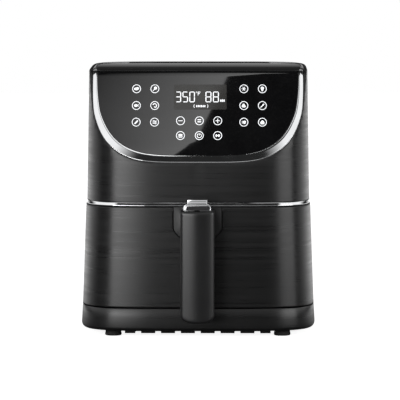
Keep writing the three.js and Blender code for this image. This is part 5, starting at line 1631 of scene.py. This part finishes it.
    def build_guard_lip(self) -> None:
        """The rolled lip round the guard's flange: a round bar carried up one end, over and down the other."""
        low, high, half, bend = self.lip
        turn = np.linspace(0, np.pi / 2, 9)
        rise = levelled(np.linspace(low, high - bend, 5)[:-1], -half)[:, ::-1]
        curve = np.column_stack([-half + bend * (1 - np.cos(turn)), high - bend + bend * np.sin(turn)])
        side = np.vstack([rise, curve])
        path = np.vstack([side, side[::-1] * [-1, 1]])
        along = np.gradient(path, axis=0)
        along /= np.linalg.norm(along, axis=1, keepdims=True)
        across = np.column_stack([-along[:, 1], along[:, 0]])
        round_bar = np.linspace(0, 2 * np.pi, 12, endpoint=False)
        flat = path[:, None] + self.lip_radius * across[:, None] * np.cos(round_bar)[None, :, None]
        depth = np.broadcast_to(self.lip_y + self.lip_radius * np.sin(round_bar), flat.shape[:2])
        rings = np.stack([flat[..., 0], depth, flat[..., 1]], axis=-1)
        self.shop.piece("guard_lip", swept(rings, closed=False), Palette.CHROME, "guard")

    def build_guard_lines(self) -> None:
        """Dark stripes across the guard's block, painted shade where its grooves lie, and the dark field inside its
        lip.
        """
        marks, field = Marks(self.mark_height), Marks(self.mark_height)
        wide, tall = self.groove_half
        # Painted shade: the grooves are flat dark stripes, not cut into the block.
        for z in self.grooves:
            marks.patch(rounded_box(-wide, wide, z - tall, z + tall, tall))
        field.patch(rounded_box(*self.field, 0.4, 2.4))
        block, lower = (
            MeshParts(part.points[:, [0, 2, 1]] * [1, -1, 1] + [0, front, 0], part.faces)
            for part, front in ((marks.joined(), self.block_y), (field.joined(), self.field_y))
        )
        self.shop.piece("guard_groove_shade_and_field", block.joined(lower), Palette.MATT, "guard")

    def build(self) -> None:
        """Builds the handle and the release mechanism."""
        self.build_front()
        self.build_back()
        self.build_guard_lip()
        self.build_guard_lines()
        self.build_spring()
        self.shop.carried(Palette.SATIN_GRIP, 0.7, "handle_bracket", steps=3)
        self.shop.carried(Palette.SILVER, 0.6, "button_guard", steps=3)
        self.shop.carried(Palette.SILVER, 0.8, "release_button", steps=3)
        self.shop.carried(Palette.STEEL, 0.2, "latch_pin")
        self.shop.carried(Palette.HEATED, 0.3, "latch_lever")
        self.shop.carried(Palette.STEEL, 0.3, "handle_screw_upper", "handle_screw_lower")


@dataclass
class CookingSystem:
    """Chamber, heater, fans and motor."""

    shop: Workshop

    def build(self) -> None:
        """Dresses the cooking system's nodes."""
        clips = (f"heater_clip_{number}" for number in (1, 2, 3))
        self.shop.carried(Palette.STEEL, 0.4, "inner_chamber")
        self.shop.carried(Palette.STEEL, 0.3, "heat_shield", "motor_shaft", "motor_mount")
        self.shop.carried(Palette.STEEL, 0.2, *clips, "temperature_sensor", "hot_air_fan", "fan_nut")
        self.shop.carried(Palette.HEATED, 0.0, "heater_element")
        self.shop.carried(Palette.HEATED, 0.5, "fan_motor")
        self.shop.carried(Palette.MATT, 0.2, "cooling_fan")


@dataclass
class Electronics:
    """Boards, display module and drawer switch."""

    shop: Workshop

    def build(self) -> None:
        """Dresses the electronics' nodes."""
        self.shop.carried(Palette.BOARD, 0.2, "control_board", "power_board")
        self.shop.carried(Palette.MATT, 0.4, "display_module")
        self.shop.carried(Palette.MATT, 0.3, "drawer_switch")


@dataclass(frozen=True)
class SoftBox:
    """A soft box: metres, watts and radians, with the share of its light left at its faint side.

    Its bright side ends sharply at the share `cut` of its width. From the share `knee` of its height
    down, that end moves outwards, by the share `bend` of the width at the foot.
    """

    name: str
    place: Triple
    target: Triple
    size: Pair
    power: float
    turn: float = 0.0
    fade: float = 1.0
    cut: float = 1.0
    bend: float = 0.0
    knee: float = 0.0


@dataclass
class Studio:
    """Camera, floor, lights and surroundings."""

    palette: Palette
    place: Triple = (0.04894, -5.68173, 0.55890)
    yaw: float = -0.00829
    pitch: float = 0.07071
    lens: float = 417.3
    floor_glow: float = 0.9
    floor_reach: float = 6000.0
    floor_z: float = -0.05
    boxes: tuple[SoftBox, ...] = (
        SoftBox("left soft box", (-0.63, -1.18, 0.27), (0.0, 0.0, 0.26), (0.9, 0.46), 8.5, np.pi, 0.42),
        SoftBox("right soft box", (0.984, -0.663, 0.27), (0.0, 0.0, 0.26), (0.82, 0.46), 2.85),
        SoftBox("front card", (0.0, -0.95, 0.33), (0.0, 0.0, 0.33), (1.3, 0.18), 0.5),
        SoftBox("overhead soft box", (0.0, 1.6, 2.6), (0.0, 0.4, 0.0), (2.4, 1.6), 4.0),
        SoftBox(
            "panel card", (-0.0607, -0.9419, 1.6407), (0.3593, -0.1319, 0.3507), (0.365, 0.7), 1.4045, -0.069, 0.0,
            cut=0.63, bend=0.3526, knee=0.4714,
        ),
    )

    def build_camera(self) -> None:
        """A long lens at the photograph's angle."""
        data = bpy.data.cameras.new("camera")
        data.lens, data.sensor_width, data.clip_end = self.lens, 36.0, 50.0
        camera = linked("camera", data)
        camera.location = self.place
        camera.rotation_euler = (np.pi / 2 - self.pitch, 0.0, -self.yaw)
        bpy.context.scene.camera = camera

    def build_floor(self) -> None:
        """A floor, white for the camera so that it meets the surroundings, and dark for reflections.

        Reflections find it brighter towards the back. Under and round the object its glow is cut, for the camera too:
        a painted shadow.
        """
        side = np.linspace(-self.floor_reach, self.floor_reach, 9)
        x, y = np.meshgrid(side, side, indexing="ij")
        points = np.stack([x, y, np.full_like(x, self.floor_z)], axis=-1).reshape(-1, 3)
        number = np.arange(81).reshape(9, 9)
        faces = np.stack([number[:-1, :-1], number[1:, :-1], number[1:, 1:], number[:-1, 1:]], -1).reshape(-1, 4)
        mesh = bpy.data.meshes.new("floor")
        mesh.from_pydata((points * MM).tolist(), [], faces.tolist())
        material = self.palette.get(Palette.FLOOR)
        tree = Tree(material.node_tree)
        shader = material.node_tree.nodes["Principled BSDF"]
        seen = tree.add("ShaderNodeLightPath").outputs["Is Camera Ray"]
        x, y, _ = tree.split(tree.add("ShaderNodeTexCoord").outputs["Object"])
        glow = tree.for_camera(seen, tree.ranged(y, 0.01, 1.1, -0.1, 0.7), self.floor_glow)
        # Painted shadow: the glow falls to 0.02 under and round the object.
        wide = tree.math("ABSOLUTE", tree.math("MULTIPLY", x, 9.0))
        long = tree.math("ABSOLUTE", tree.math("MULTIPLY_ADD", y, 11.0, -0.55))
        shade = tree.ranged(tree.math("MAXIMUM", wide, long), 0.02, 1.0, 0.8, 1.1)
        tree.put(tree.math("MULTIPLY", glow, shade), shader.inputs["Emission Strength"])
        tree.put(shade_of(1.0), shader.inputs["Emission Color"])
        tree.put(tree.mix(seen, shade_of(0.06), shade_of(0.88)), shader.inputs["Base Color"])
        mesh.materials.append(material)
        floor = linked("floor", mesh)

    def soft_box(self, box: SoftBox) -> None:
        """One soft box that looks at a point, its light rising from one side to the other."""
        data = bpy.data.lights.new(box.name, "AREA")
        data.shape = "RECTANGLE"
        data.size, data.size_y = box.size
        data.energy = box.power
        light = linked(box.name, data)
        look = (Vector(box.target) - Vector(box.place)).to_track_quat("-Z", "Y").to_matrix()
        light.location = box.place
        light.rotation_euler = (look @ Matrix.Rotation(box.turn, 3, "Z")).to_euler()
        light.visible_camera = False
        if box.fade == 1.0:
            return
        data.use_nodes = True
        tree = Tree(data.node_tree)
        across, up, _ = tree.split(tree.add("ShaderNodeNewGeometry").outputs["Parametric"])
        if box.cut < 1.0:
            across = tree.math("SUBTRACT", across, tree.ranged(up, box.bend, 0.0, 0.0, box.knee))
            ended = tree.ranged(across, 1.0, 0.0, box.cut, box.cut + 0.005)
            level = tree.math("MULTIPLY", tree.ranged(across, box.fade, 1.0, 0.0, box.cut), ended)
        else:
            level = tree.ranged(across, box.fade, 1.0)
        tree.put(level, data.node_tree.nodes["Emission"].inputs["Strength"])

    def build_world(self) -> None:
        """Surroundings: white for the camera, and three bright zones on a dark ground for everything else.

        Each zone is the product of ranges of the direction's width (without its sign), depth and height, each
        range a value at its start and its end and where these lie.
        """
        world = bpy.data.worlds.new("surroundings")
        bpy.context.scene.world = world
        world.use_nodes = True
        tree = Tree(world.node_tree)
        x, y, z = tree.split(tree.add("ShaderNodeTexCoord").outputs["Generated"])
        x = tree.math("ABSOLUTE", x)
        band_at_both_sides = (
            (z, 0.0, 1.0, 0.10, 0.20), (z, 1.0, 0.0, 0.42, 0.55), (x, 0.0, 1.0, 0.4, 0.6), (y, 0.0, 1.0, -0.74, -0.66),
        )
        high_ahead = (
            (z, 0.0, 1.0, 0.55, 0.62), (z, 1.0, 0.0, 0.9, 0.94), (x, 0.0, 1.0, 0.07, 0.13), (y, 1.0, 0.0, -0.3, -0.2),
        )
        low_behind = (y, 0.0, 1.0, 0.55, 0.95), (z, 1.0, 0.0, -0.048, 0.052)
        zones = [
            tree.folded("MULTIPLY", *(tree.ranged(*each) for each in ranges))
            for ranges in (band_at_both_sides, high_ahead, low_behind)
        ]
        level = tree.ranged(tree.folded("MAXIMUM", *zones), 0.02, 1.0)
        seen = tree.add("ShaderNodeLightPath").outputs["Is Camera Ray"]
        shade = world.node_tree.nodes["Background"]
        tree.put(tree.for_camera(seen, level, 1.0), shade.inputs["Strength"])
        tree.put(shade_of(1.0), shade.inputs["Color"])

    def build(self) -> None:
        """Builds the studio."""
        bpy.context.scene.view_settings.view_transform = "Standard"
        self.build_camera()
        self.build_floor()
        self.build_world()
        for box in self.boxes:
            self.soft_box(box)


def main() -> None:
    """Builds the studio and then each sub-assembly in order."""
    logging.basicConfig(level=logging.INFO, format="%(message)s")
    palette = Palette()
    shop = Workshop(palette)
    form = BodyForm()
    skin = Skin(form)
    boundary = Boundary(form, skin)
    Studio(palette).build()
    Base(shop, form).build()
    Housing(shop, form, skin, boundary).build()
    ControlPanel(shop, form, skin, boundary).build()
    Drawer(shop, form).build()
    Handle(shop).build()
    CookingSystem(shop).build()
    Electronics(shop).build()
    LOG.info("%d new pieces", shop.count)


if __name__ == "__main__":
    main()
